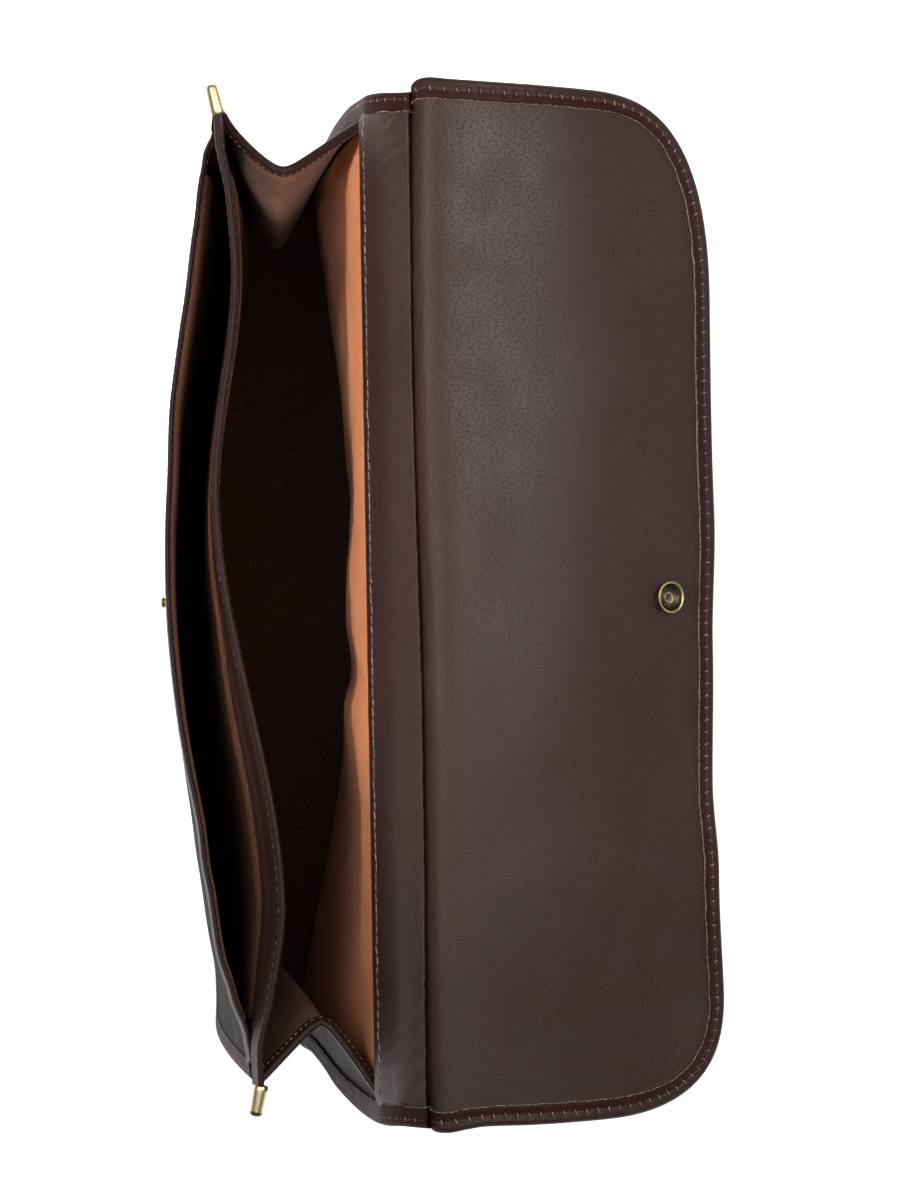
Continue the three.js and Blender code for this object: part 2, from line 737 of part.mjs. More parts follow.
// Flap
const FLAP_COLUMNS = steps(-1, 1, 10);
add("flap_outer",
  wallSheet(flap, flapHalf(EDGE), [...STRIP_ROWS, ...FREE_ROWS], FLAP_COLUMNS,
    -GAP / 2 - FLAP_OUTER, -GAP / 2), LEATHER);
add("flap_lining",
  wallSheet(flap, flapHalf(EDGE), [...STRIP_ROWS, ...FREE_ROWS], FLAP_COLUMNS,
    GAP / 2, GAP / 2 + FLAP_INNER), LEATHER);
add("flap_binding",
  foldedStrip(flap, flapPath(), BINDING_WIDTH,
    -GAP / 2 - FLAP_OUTER - GAP, GAP / 2 + FLAP_INNER + GAP), TRIM);

// Snap
add("snap_socket", seated(SOCKET_PROFILE, flap, SNAP_ACROSS, SNAP_RUN, GAP / 2 + FLAP_INNER + GAP), BRASS);
add("snap_cap", seated(CAP_PROFILE, flap, SNAP_ACROSS, SNAP_RUN, -GAP / 2 - FLAP_OUTER - GAP), BRASS);
add("snap_stud", seated(STUD_PROFILE, front, 0, STUD_HEIGHT, onFront), BRASS);

// The origin is under the middle of the whole case, on the floor
const box = new THREE.Box3().setFromObject(bag);
const middle = box.getCenter(new THREE.Vector3());
bag.position.set(-middle.x, -middle.y, -box.min.z);

const briefcase = new THREE.Group();
briefcase.add(bag);

export default briefcase;
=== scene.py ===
"""A soft leather flap briefcase, standing open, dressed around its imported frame.

Every wall starts as a flat pattern, which is cut to its outline, bent into place and given its thickness.
Its edges are then bound with folded strips and sewn, in the order in which such a case is made.
"""

import logging
import math
from dataclasses import dataclass
from enum import Enum
from typing import Callable, Sequence

import bpy
import numpy as np
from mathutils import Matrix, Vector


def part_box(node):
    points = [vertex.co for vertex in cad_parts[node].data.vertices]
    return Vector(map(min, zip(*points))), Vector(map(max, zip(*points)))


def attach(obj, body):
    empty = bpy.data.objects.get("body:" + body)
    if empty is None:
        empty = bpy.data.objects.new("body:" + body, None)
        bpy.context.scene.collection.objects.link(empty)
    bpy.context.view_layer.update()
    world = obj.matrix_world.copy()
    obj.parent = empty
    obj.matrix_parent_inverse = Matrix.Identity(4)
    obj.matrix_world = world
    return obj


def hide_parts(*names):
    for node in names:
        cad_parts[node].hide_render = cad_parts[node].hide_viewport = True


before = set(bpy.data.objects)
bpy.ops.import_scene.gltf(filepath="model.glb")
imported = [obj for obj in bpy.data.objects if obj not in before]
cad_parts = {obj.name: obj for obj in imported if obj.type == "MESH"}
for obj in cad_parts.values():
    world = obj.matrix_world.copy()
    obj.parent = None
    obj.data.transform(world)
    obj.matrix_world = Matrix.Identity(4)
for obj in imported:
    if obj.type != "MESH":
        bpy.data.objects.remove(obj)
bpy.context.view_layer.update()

LOG = logging.getLogger("briefcase")
MM = 0.001
UV_UNIT = 100.0
BODY = "root"
STEP = 0.05
SHARE_STEP = 0.01

Array = np.ndarray
Object = bpy.types.Object
Material = bpy.types.Material
Socket = bpy.types.NodeSocket
Colour = tuple[float, float, float]
Table = Sequence[tuple[float, float]]
Places = tuple[Array, Array, Array]
Seam = tuple[Array, Array, Array, Array]
Surface = Callable[[Array, Array], Array]
Measure = Callable[[Array, Array], Array]


class Slot(Enum):
    """Material slots of the record."""

    LEATHER = "leather"
    TRIM = "trim_leather"
    SUEDE = "suede"
    CLOTH = "tan_cloth"
    BRASS = "brass"


class End(Enum):
    """The two ends of the case, by the sign of X."""

    LEFT = -1
    RIGHT = 1


def smooth(value: Array) -> Array:
    """Ease from 0 to 1 between 0 and 1."""
    t = np.clip(value, 0.0, 1.0)
    return t * t * (3.0 - 2.0 * t)


def eased(table: Table, at: Array) -> Array:
    """Read a table of keys and values, eased from row to row.

    Args:
        table: Rows of key and value, in the order of the keys.
        at: Keys to read.

    Returns:
        The value at each key.
    """
    keys, values = np.array(table, float).T
    i = np.clip(np.searchsorted(keys, at), 1, len(keys) - 1)
    share = smooth((at - keys[i - 1]) / (keys[i] - keys[i - 1]))
    return values[i - 1] + (values[i] - values[i - 1]) * share


def flowing(table: Table, at: Array) -> Array:
    """Read a table of keys and values as one smooth curve through its rows.

    Args:
        table: Rows of key and value, in the order of the keys.
        at: Keys to read.

    Returns:
        The value at each key.
    """
    keys, values = np.array(table, float).T
    slopes = np.gradient(values, keys)
    low = np.clip(np.searchsorted(keys, at) - 1, 0, len(keys) - 2)
    step = keys[low + 1] - keys[low]
    t = np.clip((at - keys[low]) / step, 0.0, 1.0)
    rise = smooth(t) * (values[low + 1] - values[low])
    return values[low] + rise + step * t * (1 - t) * ((1 - t) * slopes[low] - t * slopes[low + 1])


def by_side(tables: tuple[Table, Table], across: Array, at: Array) -> Array:
    """Read the left or the right one of two tables, by the side that each place across is on."""
    left, right = (flowing(table, at) for table in tables)
    return np.where(across < 0, left, right)


def below_rim(climb: Array, start: float, rim: float) -> Array:
    """Give the share of a roll: none at the foot, one where the roll starts, and none at the rim."""
    foot = 0.45 * start
    return smooth((climb - foot) / (start - foot)) - smooth((climb - start) / (rim - start))


def stacked(x: Array, y: Array, z: Array) -> Array:
    """Join three coordinates into points."""
    return np.stack(np.broadcast_arrays(x, y, z), axis=-1).astype(float)


def unit(vectors: Array) -> Array:
    """Scale vectors to length one."""
    return vectors / np.maximum(np.linalg.norm(vectors, axis=-1, keepdims=True), 1e-12)


def run_along(steps: Array) -> Array:
    """Add steps up into the length run at each point, from none at the first."""
    return np.concatenate([[0.0], np.cumsum(steps)])


@dataclass(frozen=True)
class Ripple:
    """Slight unevenness of soft leather, as a sum of a few waves."""

    height: float
    length: float
    seed: int
    waves: int = 7

    def at(self, across: Array, climb: Array) -> Array:
        """Give the unevenness at points of a flat pattern.

        Args:
            across: Places along the case, in millimetres.
            climb: Places up the wall, in millimetres.

        Returns:
            Heights off the wall in millimetres.
        """
        draw = np.random.default_rng(self.seed)
        total = np.zeros(np.broadcast(across, climb).shape)
        for _ in range(self.waves):
            angle, phase, stretch = draw.uniform(0.0, [math.tau, math.tau, 1.0])
            k = math.tau / (self.length * (0.6 + 0.9 * stretch))
            total = total + np.sin(k * (across * math.cos(angle) + climb * math.sin(angle)) + phase)
        return self.height * total / math.sqrt(self.waves)


@dataclass(frozen=True)
class PlanCurve:
    """Plan curve of a wall: the line through its ends, its skew per millimetre, and the bulge between."""

    line: float
    skew: float
    bulge: float

    def at(self, across: Array, bulge: Array) -> Array:
        """Give the curve's Y for places across, with the share of bulge there."""
        return self.line + self.skew * across + self.bulge * bulge


@dataclass(frozen=True)
class FreeCorner:
    """A rounded free corner of the flap, by its reaches along the edge and the side, and how square it is."""

    across: float
    run: float
    power: float

    def other(self, share: Array) -> Array:
        """Give the share of one reach that goes with a share of the other."""
        return (1 - share**self.power) ** (1 / self.power)


@dataclass(frozen=True)
class EndFold:
    """Fold of one end: its depth by rise, the fall of its top edge, and the shift of its crease."""

    depths: Table
    dip: float
    skew: float


@dataclass(frozen=True)
class CaseForm:
    """Sizes of the case in millimetres, and the surfaces that its flat patterns are bent to.

    A half is a half length along X, a rim or top a height on the flat pattern, and a table of two columns
    gives a value by place across or by height. Leathers and cloth are given by their thickness.
    """

    back_half: float = 217.0
    front_half: float = 209.0
    flap_half: float = 221.5
    strip_half: float = 206.0
    corner_radius: float = 30.0
    front_rim: float = 250.0
    divider_rim: float = 261.0
    flare_start: float = 255.0
    flare_length: float = 34.0
    flap_run: float = 144.0
    strip_top: float = 232.0
    pocket_band: float = 239.0
    gap: float = 0.3
    slack: float = 0.2
    front_leather: float = 1.6
    divider_leather: float = 1.8
    gusset_leather: float = 1.2
    back_leather: float = 1.8
    facing_leather: float = 1.2
    flap_outer: float = 1.4
    flap_inner: float = 1.2
    cloth: float = 1.0
    strip_leather: float = 0.8
    binding_width: float = 8.5
    hem_depth: float = 8.0
    gusset_hem_depth: float = 5.0
    seam_width: float = 11.0
    pocket_start: float = 13.0
    pocket_step: float = 24.0
    roll_start: float = 244.0
    divider_roll: Table = (
        (-206, 0.8), (-140, 1.2), (-60, 0.4), (0, -1.5), (60, -4.2), (150, -4.6), (206, -2),
    )
    divider_spread: tuple[float, float] = (1.7, 2.6)
    divider_spread_start: float = 246.0
    divider_spread_rise: float = 10.0
    thread_sink: float = 0.1
    lining_inset: float = 13.5
    band_stand_off: float = 3.2
    band_ease: float = 14.0
    band_power: float = 1.3
    front_rack: float = -5.0
    bulge_power: float = 1.5
    upright_power: float = 1.4
    front_foot: PlanCurve = PlanCurve(-24.0, -0.05, -19.0)
    front_mouth: PlanCurve = PlanCurve(-9.9, 0.018, -27.1)
    back_foot: PlanCurve = PlanCurve(15.0, -0.035, 25.0)
    front_belly: float = -3.0
    front_roll: Table = ((-209, 0), (-150, 0.9), (-60, 0.8), (0, 0.6), (60, 0.6), (150, 0.5), (209, 0))
    front_trim: Table = (
        (-209, 1.4), (-203, 0.6), (-190, -3.8), (-177, -4.6), (-160, -4), (-125, -2.6), (-90, -2.2), (-47, 0),
        (0, 0.3), (50, 0.8), (95, 1.4), (121, -0.6), (155, -3), (172, -1.4), (190, 1.8), (209, 3.2),
    )
    front_roll_start: float = 236.0
    back_top: float = 54.3
    back_spread: tuple[Table, Table] = (
        (
            (0, 0), (120, 1), (163, 4.5), (205, 5.6), (235, 4), (256, 2.6), (271, 1.3), (289, -0.4),
            (300, -0.4),
        ),
        (
            (0, 0), (60, -2.8), (90, -4), (122, -0.6), (149, 4.8), (175, 7.6), (201, 9), (231, 8.4),
            (263, 5.2), (276, 3.8), (289, 3.5), (300, 3.5),
        ),
    )
    side_power: int = 6
    sewn_side: float = 4.0
    sewn_fade: float = 8.0
    lean_start: float = 8.0
    lean_rim: float = 58.0
    divider_waves: Table = ((-196, 0), (-143, 2), (-40, -10), (132, 11.5), (196, 2.9))
    lining_folds: Table = (
        (-206, 0), (-110, 2.5), (-60, 0.5), (5, 4), (31, 0.4), (46, 5), (90, 0.6), (150, 2), (206, 0),
    )
    lining_fold_power: float = 1.6
    hang_start: float = 110.0
    left_fold: EndFold = EndFold(((0, -3), (50, 18), (110, 36), (180, 32), (270, 20.6)), 18.0, 0.75)
    right_fold: EndFold = EndFold(((0, -3), (50, 18), (110, 37), (180, 36), (270, 27.5)), 8.0, 1.04)
    dip_fade: float = 75.0
    crease_round: float = 0.18
    base_sag: float = -3.0
    flange_front: float = 2.5
    flange_foot: float = 10.0
    flange_back: float = 10.0
    flange_edge: float = 1.6
    flange_blend: float = 120.0
    flap_slopes: Table = (
        (0, 78), (2, 66), (4, 40), (6.5, 18), (10, 2), (15, -13), (22, -21), (50, -24), (100, -35),
        (150, -39.5),
    )
    flap_sweep: Table = (
        (-222, 3.6), (-130, 5.0), (-40, 4.6), (20, 1.7), (80, 0.6), (120, 3.1), (180, 5.2), (222, 5.7),
    )
    flap_spread: tuple[Table, Table] = (
        ((0, 0.2), (8, 1.4), (15, 0.8), (30, 0.3), (55, -0.2), (90, -0.9), (146, -0.9)),
        (
            (0, -3.2), (4, -3.3), (9, -3.3), (15, -4.3), (22, -5.1), (30, -5.0), (42, -4.4), (70, -3.8),
            (146, -4.2),
        ),
    )
    spread_blend: float = 4.0
    lean_blend: float = 6.0
    corner_left: FreeCorner = FreeCorner(93.0, 65.0, 2.65)
    corner_right: FreeCorner = FreeCorner(53.0, 66.0, 2.6)
    corner_droop: float = 5.0
    hinge_leans: Table = (
        (-222, 0), (-170, 1.0), (-110, 1.4), (-50, 1.2), (0, 0.8), (30, 0.8), (110, 1.0), (180, 0.9),
        (222, -0.6),
    )
    rim_reach: Table = ((-222, 0), (-60, 0), (0, 1.0), (40, 1.4), (110, 1.3), (180, 0.6), (222, 0.2))
    hinge_inset: float = 1.5
    hinge_run: float = 4.0
    hinge_start: float = 0.5
    binding_start: float = 0.9
    snap_run: float = 117.6
    snap_across: float = -1.8
    stud_height: float = 180.0
    flap_ripple: Ripple = Ripple(0.35, 95.0, 4)
    ripple_start: float = 8.0
    ripple_fade: float = 30.0

    @property
    def back_rim(self) -> float:
        """Climb of the back wall's rim."""
        return self.flare_start + self.flare_length

    @property
    def edge(self) -> float:
        """Inset of a panel's edge inside its binding."""
        return self.strip_leather + self.gap

    @property
    def corner_arc(self) -> float:
        """Length of the seam round a lower corner."""
        return self.corner_radius * math.pi / 2

    @property
    def gusset_top(self) -> float:
        """Height of the top edge of a folding end at its seams."""
        return self.divider_rim - self.hem_depth - self.gap

    @property
    def gusset_rise(self) -> float:
        """Length of a folding end's seam from the foot to the top."""
        return self.gusset_top - self.corner_radius + self.corner_arc

    def bulge(self, across: Array, half: float) -> Array:
        """Give the share of plan bulge, one in the middle and none along the end seams."""
        reach = half - self.seam_width
        return np.maximum(0.0, 1.0 - (across / reach) ** 2) ** self.bulge_power

    def upright(self, share: Array) -> Array:
        """Give the share of the way from foot to rim, starting upright at the foot."""
        return np.maximum(0.0, share) ** self.upright_power

    def front_surface(self, across: Array, climb: Array) -> Array:
        """Bend the front's pattern: the outer leather of the pocket.

        Args:
            across: Places along the case.
            climb: Heights on the flat pattern.

        Returns:
            Points of the surface.
        """
        share = self.upright(climb / self.front_rim)
        bulge = self.bulge(across, self.front_half)
        foot = self.front_foot.at(across, bulge)
        mouth = self.front_mouth.at(across, bulge) + eased(self.front_trim, across)
        belly = self.front_belly * np.sin(math.pi * climb / self.front_rim) ** 2 * bulge
        roll = eased(self.front_roll, across) * below_rim(climb, self.front_roll_start, self.front_rim)
        return stacked(across + self.front_rack * share, foot + (mouth - foot) * share + belly + roll, climb)

    def inset_of(self, across: Array, climb: Array) -> Array:
        """Give the distance of points on the front from its outline."""
        side = self.front_half - np.abs(across)
        radius = self.corner_radius
        corner = radius - np.hypot(radius - side, radius - climb)
        return np.where((side < radius) & (climb < radius), corner, np.minimum(side, climb))

    def divider_surface(self, across: Array, climb: Array) -> Array:
        """Bend the divider's pattern: the wall between the pocket and the main compartment.

        Args:
            across: Places along the case.
            climb: Heights on the flat pattern.

        Returns:
            Points of the surface.
        """
        share = self.upright(climb / self.front_rim)
        foot = self.front_foot.at(across, self.bulge(across, self.front_half))
        mouth = self.front_mouth.line + self.front_mouth.skew * across
        wave = eased(self.divider_waves, across)
        inner = smooth((self.inset_of(across, climb) - self.pocket_start) / self.pocket_step)
        seam = self.front_leather / 2 + self.gap + self.divider_leather / 2
        spacing = seam + 2 * (self.cloth + self.gap) * inner
        roll = eased(self.divider_roll, across) * below_rim(climb, self.roll_start, self.divider_rim)
        y = foot + (mouth + wave - foot) * share + spacing + roll
        rise = smooth((climb - self.divider_spread_start) / self.divider_spread_rise)
        spread = self.sideways(np.where(across < 0, *self.divider_spread) * rise, across, self.front_half)
        return stacked(across + self.front_rack * share + spread, y, climb)

    def back_surface(self, across: Array, climb: Array) -> Array:
        """Bend the back's pattern: leaning up to its flare, then bending outwards to the rim.

        Args:
            across: Places along the case.
            climb: Heights on the flat pattern.

        Returns:
            Points of the surface.
        """
        foot = self.back_foot.at(across, self.bulge(across, self.back_half))
        start = math.radians(self.lean_start)
        t = np.minimum(climb / self.flare_start, 1.0)
        rise = self.back_top - foot
        end = math.tan(start) * self.flare_start
        wall = foot + rise * (3 * t**2 - 2 * t**3) + end * (t**3 - t**2)
        radius = self.flare_length / math.radians(self.lean_rim - self.lean_start)
        lean = start + np.maximum(0.0, climb - self.flare_start) / radius
        flared = climb > self.flare_start
        y = np.where(flared, self.back_top + radius * (math.cos(start) - np.cos(lean)), wall)
        z = np.where(flared, self.flare_start + radius * (np.sin(lean) - math.sin(start)), climb)
        y = y + flowing(self.rim_reach, across) * smooth((climb - self.flare_start) / self.flare_length)
        spread = by_side(self.back_spread, across, climb)
        return stacked(across + self.sideways(spread, across, self.back_half), y, z)

    def sideways(self, spread: Array, across: Array, half: float) -> Array:
        """Turn a spread of a wall's sides into a shift that fades out towards its middle."""
        return spread * np.sign(across) * (np.abs(across) / half) ** self.side_power

    def flap_profile(self) -> tuple[Array, Array, Array]:
        """Add up the flap's slopes into its profile.

        Returns:
            Runs from the back rim, and the profile's reach outwards and rise at each.
        """
        runs = np.linspace(0.0, self.flap_run + 2.0, 1461)
        keys, tilts = np.array(self.flap_slopes, float).T
        tilt = np.radians(np.interp((runs[1:] + runs[:-1]) / 2, keys, tilts))
        return runs, run_along(runs[1] * np.cos(tilt)), run_along(runs[1] * np.sin(tilt))

    def flap_surface(self, across: Array, run: Array) -> Array:
        """Bend the flap's pattern: a strip on the outside of the back, then the free part over the rim.

        Args:
            across: Places along the case.
            run: Distances out from the back's rim.

        Returns:
            Points of the surface.
        """
        offset = -(self.back_leather / 2 + self.gap + self.flap_inner + self.gap / 2)
        climb = self.back_rim + np.minimum(run, 0.0)
        root = lifted(self.back_surface, across, climb, offset)
        runs, out, rise = self.flap_profile()
        free = np.maximum(run, 0.0)
        droop = self.corner_droop * (across / self.flap_half) ** 4 * (free / self.flap_run) ** 2
        swell = self.flap_ripple.at(across, run) * smooth((free - self.ripple_start) / self.ripple_fade)
        spread = self.sideways(by_side(self.flap_spread, across, free), across, self.flap_half)
        sweep = eased(self.flap_sweep, across) * (free / self.flap_run) ** 2
        lean = flowing(self.hinge_leans, across) * smooth((run + self.lean_blend) / self.lean_blend)
        return root + stacked(
            spread * smooth((run + self.spread_blend) / self.spread_blend),
            np.interp(free, runs, out) + sweep - lean,
            np.interp(free, runs, rise) - droop + swell,
        )

    def seam(self, half: float, end: End, rise: Array) -> Seam:
        """Follow a side seam from the foot.

        Args:
            half: Half length of the wall.
            end: End of the case.
            rise: Distances along the seam.

        Returns:
            Place across, climb, and the inward direction's two parts on the flat pattern.
        """
        turn = math.pi / 2 * np.minimum(1.0, rise / self.corner_arc)
        across = end.value * (half - self.corner_radius * (1 - np.sin(turn)))
        climb = self.corner_radius * (1 - np.cos(turn)) + np.maximum(0.0, rise - self.corner_arc)
        return across, climb, -end.value * np.sin(turn), np.cos(turn)

    def crease(self, share: Array, skew: Array) -> Array:
        """Give the depth of a rounded fold, one on its crease and none at its seams."""
        skewed = np.clip(share, 0.0, 1.0) ** skew
        reach = np.hypot(2 * skewed - 1, self.crease_round) - self.crease_round
        return 1 - reach / (math.hypot(1.0, self.crease_round) - self.crease_round)

    def between(
        self, across: Array, front_edge: Seam, back_edge: Seam, flange: Array, depth: Array, dip: Array,
        skew: Array,
    ) -> Array:
        """Span from the divider's seam to the back's seam with a fold.

        Args:
            across: From -1 to 2: the front flange below 0, the folded span to 1, the back flange above.
            front_edge: Seam points on the divider.
            back_edge: Seam points on the back.
            flange: Width of the front flange.
            depth: Depth of the fold inwards.
            dip: Fall of the fold.
            skew: Shift of the crease, above one towards the back.

        Returns:
            Points of the span in millimetres.
        """
        on_front = -(self.divider_leather / 2 + self.gap + self.gusset_leather / 2)
        on_back = self.back_leather / 2 + self.gap + self.gusset_leather / 2
        front_in = flange + (self.flange_edge - flange) * np.clip(-across, 0, 1)
        back_in = self.flange_back + (self.flange_edge - self.flange_back) * np.clip(across - 1, 0, 1)
        start = lifted(self.divider_surface, *EdgePath(*front_edge).inset(front_in), on_front)
        stop = lifted(self.back_surface, *EdgePath(*back_edge).inset(back_in), on_back)
        share = np.clip(across, 0.0, 1.0)
        fold = self.crease(share, skew)
        point = start + (stop - start) * share[..., None]
        inward = stacked(front_edge[2], np.zeros_like(share), front_edge[3])
        point = point + inward * (depth * fold)[..., None]
        point[..., 2] -= dip * fold
        return point

    def gusset_surface(self, end: End) -> Surface:
        """Make the surface of a folding end, by the share across and the rise along its seam.

        Args:
            end: The end.

        Returns:
            The surface.
        """
        fold = self.left_fold if end is End.LEFT else self.right_fold

        def surface(across: Array, rise: Array) -> Array:
            """Bend the end's pattern.

            Args:
                across: Shares across.
                rise: Rises along the seam.

            Returns:
                Points of the surface.
            """
            across, rise = np.broadcast_arrays(np.asarray(across, float), np.asarray(rise, float))
            fade = np.maximum(0.0, 1 - (self.gusset_rise - rise) / self.dip_fade) ** 2
            blend = smooth(rise / self.flange_blend)
            flange = self.flange_foot + (self.flange_front - self.flange_foot) * blend
            return self.between(
                across,
                self.seam(self.front_half, end, rise),
                self.seam(self.back_half, end, rise),
                flange,
                eased(fold.depths, rise),
                fold.dip * fade,
                1 + (fold.skew - 1) * blend,
            )

        return surface

    def base_surface(self, across: Array, share: Array) -> Array:
        """Bend the base's pattern.

        Args:
            across: Shares across, as for the folding ends.
            share: Shares along, from -1 to 1.

        Returns:
            Points of the surface.
        """
        across, share = np.broadcast_arrays(np.asarray(across, float), np.asarray(share, float))
        zero = np.zeros_like(across)
        edges = [
            (share * (half - self.corner_radius), zero, zero, zero + 1.0)
            for half in (self.front_half, self.back_half)
        ]
        return self.between(across, *edges, zero + self.flange_foot, zero + self.base_sag, zero, zero + 1)

    def panel_half(self, half: float, inset: float) -> Measure:
        """Make the half width of a panel with rounded lower corners.

        Args:
            half: Half length of the wall.
            inset: Inset of the panel from the wall's outline.

        Returns:
            The half width by height.
        """
        reach = self.corner_radius - inset

        def width(climb: Array, _: Array) -> Array:
            """Give the half width at a climb."""
            drop = np.clip(self.corner_radius - climb, 0.0, reach)
            return half - self.corner_radius + np.sqrt(reach**2 - drop**2)

        return width

    def hinge_cut(self, run: Array) -> Array:
        """Give how far the flap's sides are drawn in beside its bend."""
        return self.hinge_inset * np.maximum(0.0, 1 - (run - self.hinge_start) / self.hinge_run) ** 2

    def flap_width(self, inset: float) -> Measure:
        """Make the half width of the flap: the sewn strip, then full width with rounded free corners.

        Args:
            inset: Inset of a leather from the flap's outline.

        Returns:
            The half width by run, on the side that a sign names.
        """

        def width(run: Array, side: Array) -> Array:
            """Give the half width at a run.

            Args:
                run: Runs along the flap.
                side: Signs that name the side.

            Returns:
                The half widths.
            """
            cuts = []
            for corner in (self.corner_left, self.corner_right):
                share = np.clip((run - self.flap_run + corner.run) / (corner.run - inset), 0.0, 1.0)
                cuts.append((corner.across - inset) * (1 - corner.other(share)))
            free = self.flap_half - inset - self.hinge_cut(run) - np.where(side < 0, *cuts)
            return np.where(run <= self.hinge_start, self.strip_half, free)

        return width

    def lining_fold(self, across: Array, climb: Array) -> Array:
        """Give the loose folds of the back's cloth, which hangs from the band's lower edge."""
        share = np.clip((climb - self.corner_radius) / (self.flare_start - self.corner_radius), 0.0, 1.0)
        wave = np.maximum(0.0, np.sin(math.pi * share**self.lining_fold_power))
        hang = smooth((climb - self.hang_start) / (self.flare_start - self.hang_start))
        stand = (self.band_stand_off - self.gap) * hang * self.seam_fade(across)
        return eased(self.lining_folds, across) * wave + stand

    def band_stand(self, across: Array, climb: Array) -> Array:
        """Give how far the band inside the rim stands off the back, most at its lower edge."""
        share = np.clip((climb - self.flare_start) / self.band_ease, 0.0, 1.0)
        return self.band_stand_off * (1 - share) ** self.band_power * self.seam_fade(across)

    def seam_fade(self, across: Array) -> Array:
        """Give one along the middle of the back, and none where its sides are sewn down."""
        return smooth((self.back_half - self.sewn_side - np.abs(across)) / self.sewn_fade)


def normals_of(surface: Surface, across: Array, climb: Array, step: float = STEP) -> Array:
    """Give a surface's unit normals, which point to the front on upright walls and up on the flap.

    Args:
        surface: Surface of a wall.
        across: Places across on the flat pattern.
        climb: Places up on the flat pattern.
        step: Step across that the normals are taken over.

    Returns:
        Unit normals.
    """
    along = surface(across + step, climb) - surface(across - step, climb)
    up = surface(across, climb + STEP) - surface(across, climb - STEP)
    return unit(np.cross(along, up))


def lifted(surface: Surface, across: Array, climb: Array, lift: Array, step: float = STEP) -> Array:
    """Give points off a surface by a lift along its normals."""
    normal = normals_of(surface, across, climb, step)
    return surface(across, climb) + normal * np.asarray(lift, float)[..., None]


@dataclass(frozen=True)
class Wall:
    """A bent wall in the part's frame."""

    surface: Surface
    origin: Array
    step: float = STEP

    def place(self, across: Array, climb: Array, lift: Array) -> Array:
        """Give points in the part's frame, in metres."""
        return (lifted(self.surface, across, climb, lift, self.step) + self.origin) * MM

    def normals(self, across: Array, climb: Array) -> Array:
        """Give unit normals at places on the flat pattern."""
        return normals_of(self.surface, across, climb, self.step)

    def seat(self, across: float, climb: float, lift: float) -> tuple[Array, Array]:
        """Give one point off the wall, in metres, and the normal there."""
        place = np.array([across]), np.array([climb])
        return self.place(*place, np.full(1, lift))[0], self.normals(*place)[0]


class Walls:
    """The walls of the case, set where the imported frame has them."""

    def __init__(self, form: CaseForm) -> None:
        """Find the case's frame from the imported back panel, which is even about its middle.

        Args:
            form: The case's sizes and surfaces.
        """
        self.form = form
        low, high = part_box("back_panel")
        half = form.back_leather / 2
        rim = np.array([form.back_rim])
        even = np.full(1, -form.back_half / 2)
        outer, inner = (lifted(form.back_surface, even, rim, lift)[0] for lift in (-half, half))
        origin = np.array([(low.x + high.x) / 2 / MM, high.y / MM - outer[1], high.z / MM - inner[2]])
        self.front = Wall(form.front_surface, origin)
        self.divider = Wall(form.divider_surface, origin)
        self.back = Wall(form.back_surface, origin)
        self.flap = Wall(form.flap_surface, origin)
        self.base = Wall(form.base_surface, origin, SHARE_STEP)
        self.gussets = {end: Wall(form.gusset_surface(end), origin, SHARE_STEP) for end in End}


@dataclass(frozen=True)
class EdgePath:
    """An edge on a flat pattern, with its inward direction at each point."""

    across: Array
    climb: Array
    in_across: Array
    in_climb: Array
    measure: Array | None = None

    def inset(self, distance: Array) -> tuple[Array, Array]:
        """Give the pattern points at a distance inside the edge."""
        return self.across + self.in_across * distance, self.climb + self.in_climb * distance

    def lengths(self) -> Array:
        """Give the length along the edge at each point, in millimetres."""
        if self.measure is not None:
            return self.measure
        return run_along(np.hypot(np.diff(self.across), np.diff(self.climb)))

    def taken(self, points: Array | slice) -> "EdgePath":
        """Take some of the edge's points, in an order."""
        columns = (self.across, self.climb, self.in_across, self.in_climb)
        return EdgePath(*(column[points] for column in columns))


def joined(paths: Sequence[EdgePath]) -> EdgePath:
    """Join edge paths end to end, keeping one of each pair of points that meet."""
    parts = []
    for name in ("across", "climb", "in_across", "in_climb"):
        rows = [getattr(path, name) for path in paths]
        parts.append(np.concatenate([rows[0]] + [row[1:] for row in rows[1:]]))
    return EdgePath(*parts)


def backwards(path: EdgePath) -> EdgePath:
    """Turn an edge path round."""
    return path.taken(slice(None, None, -1))


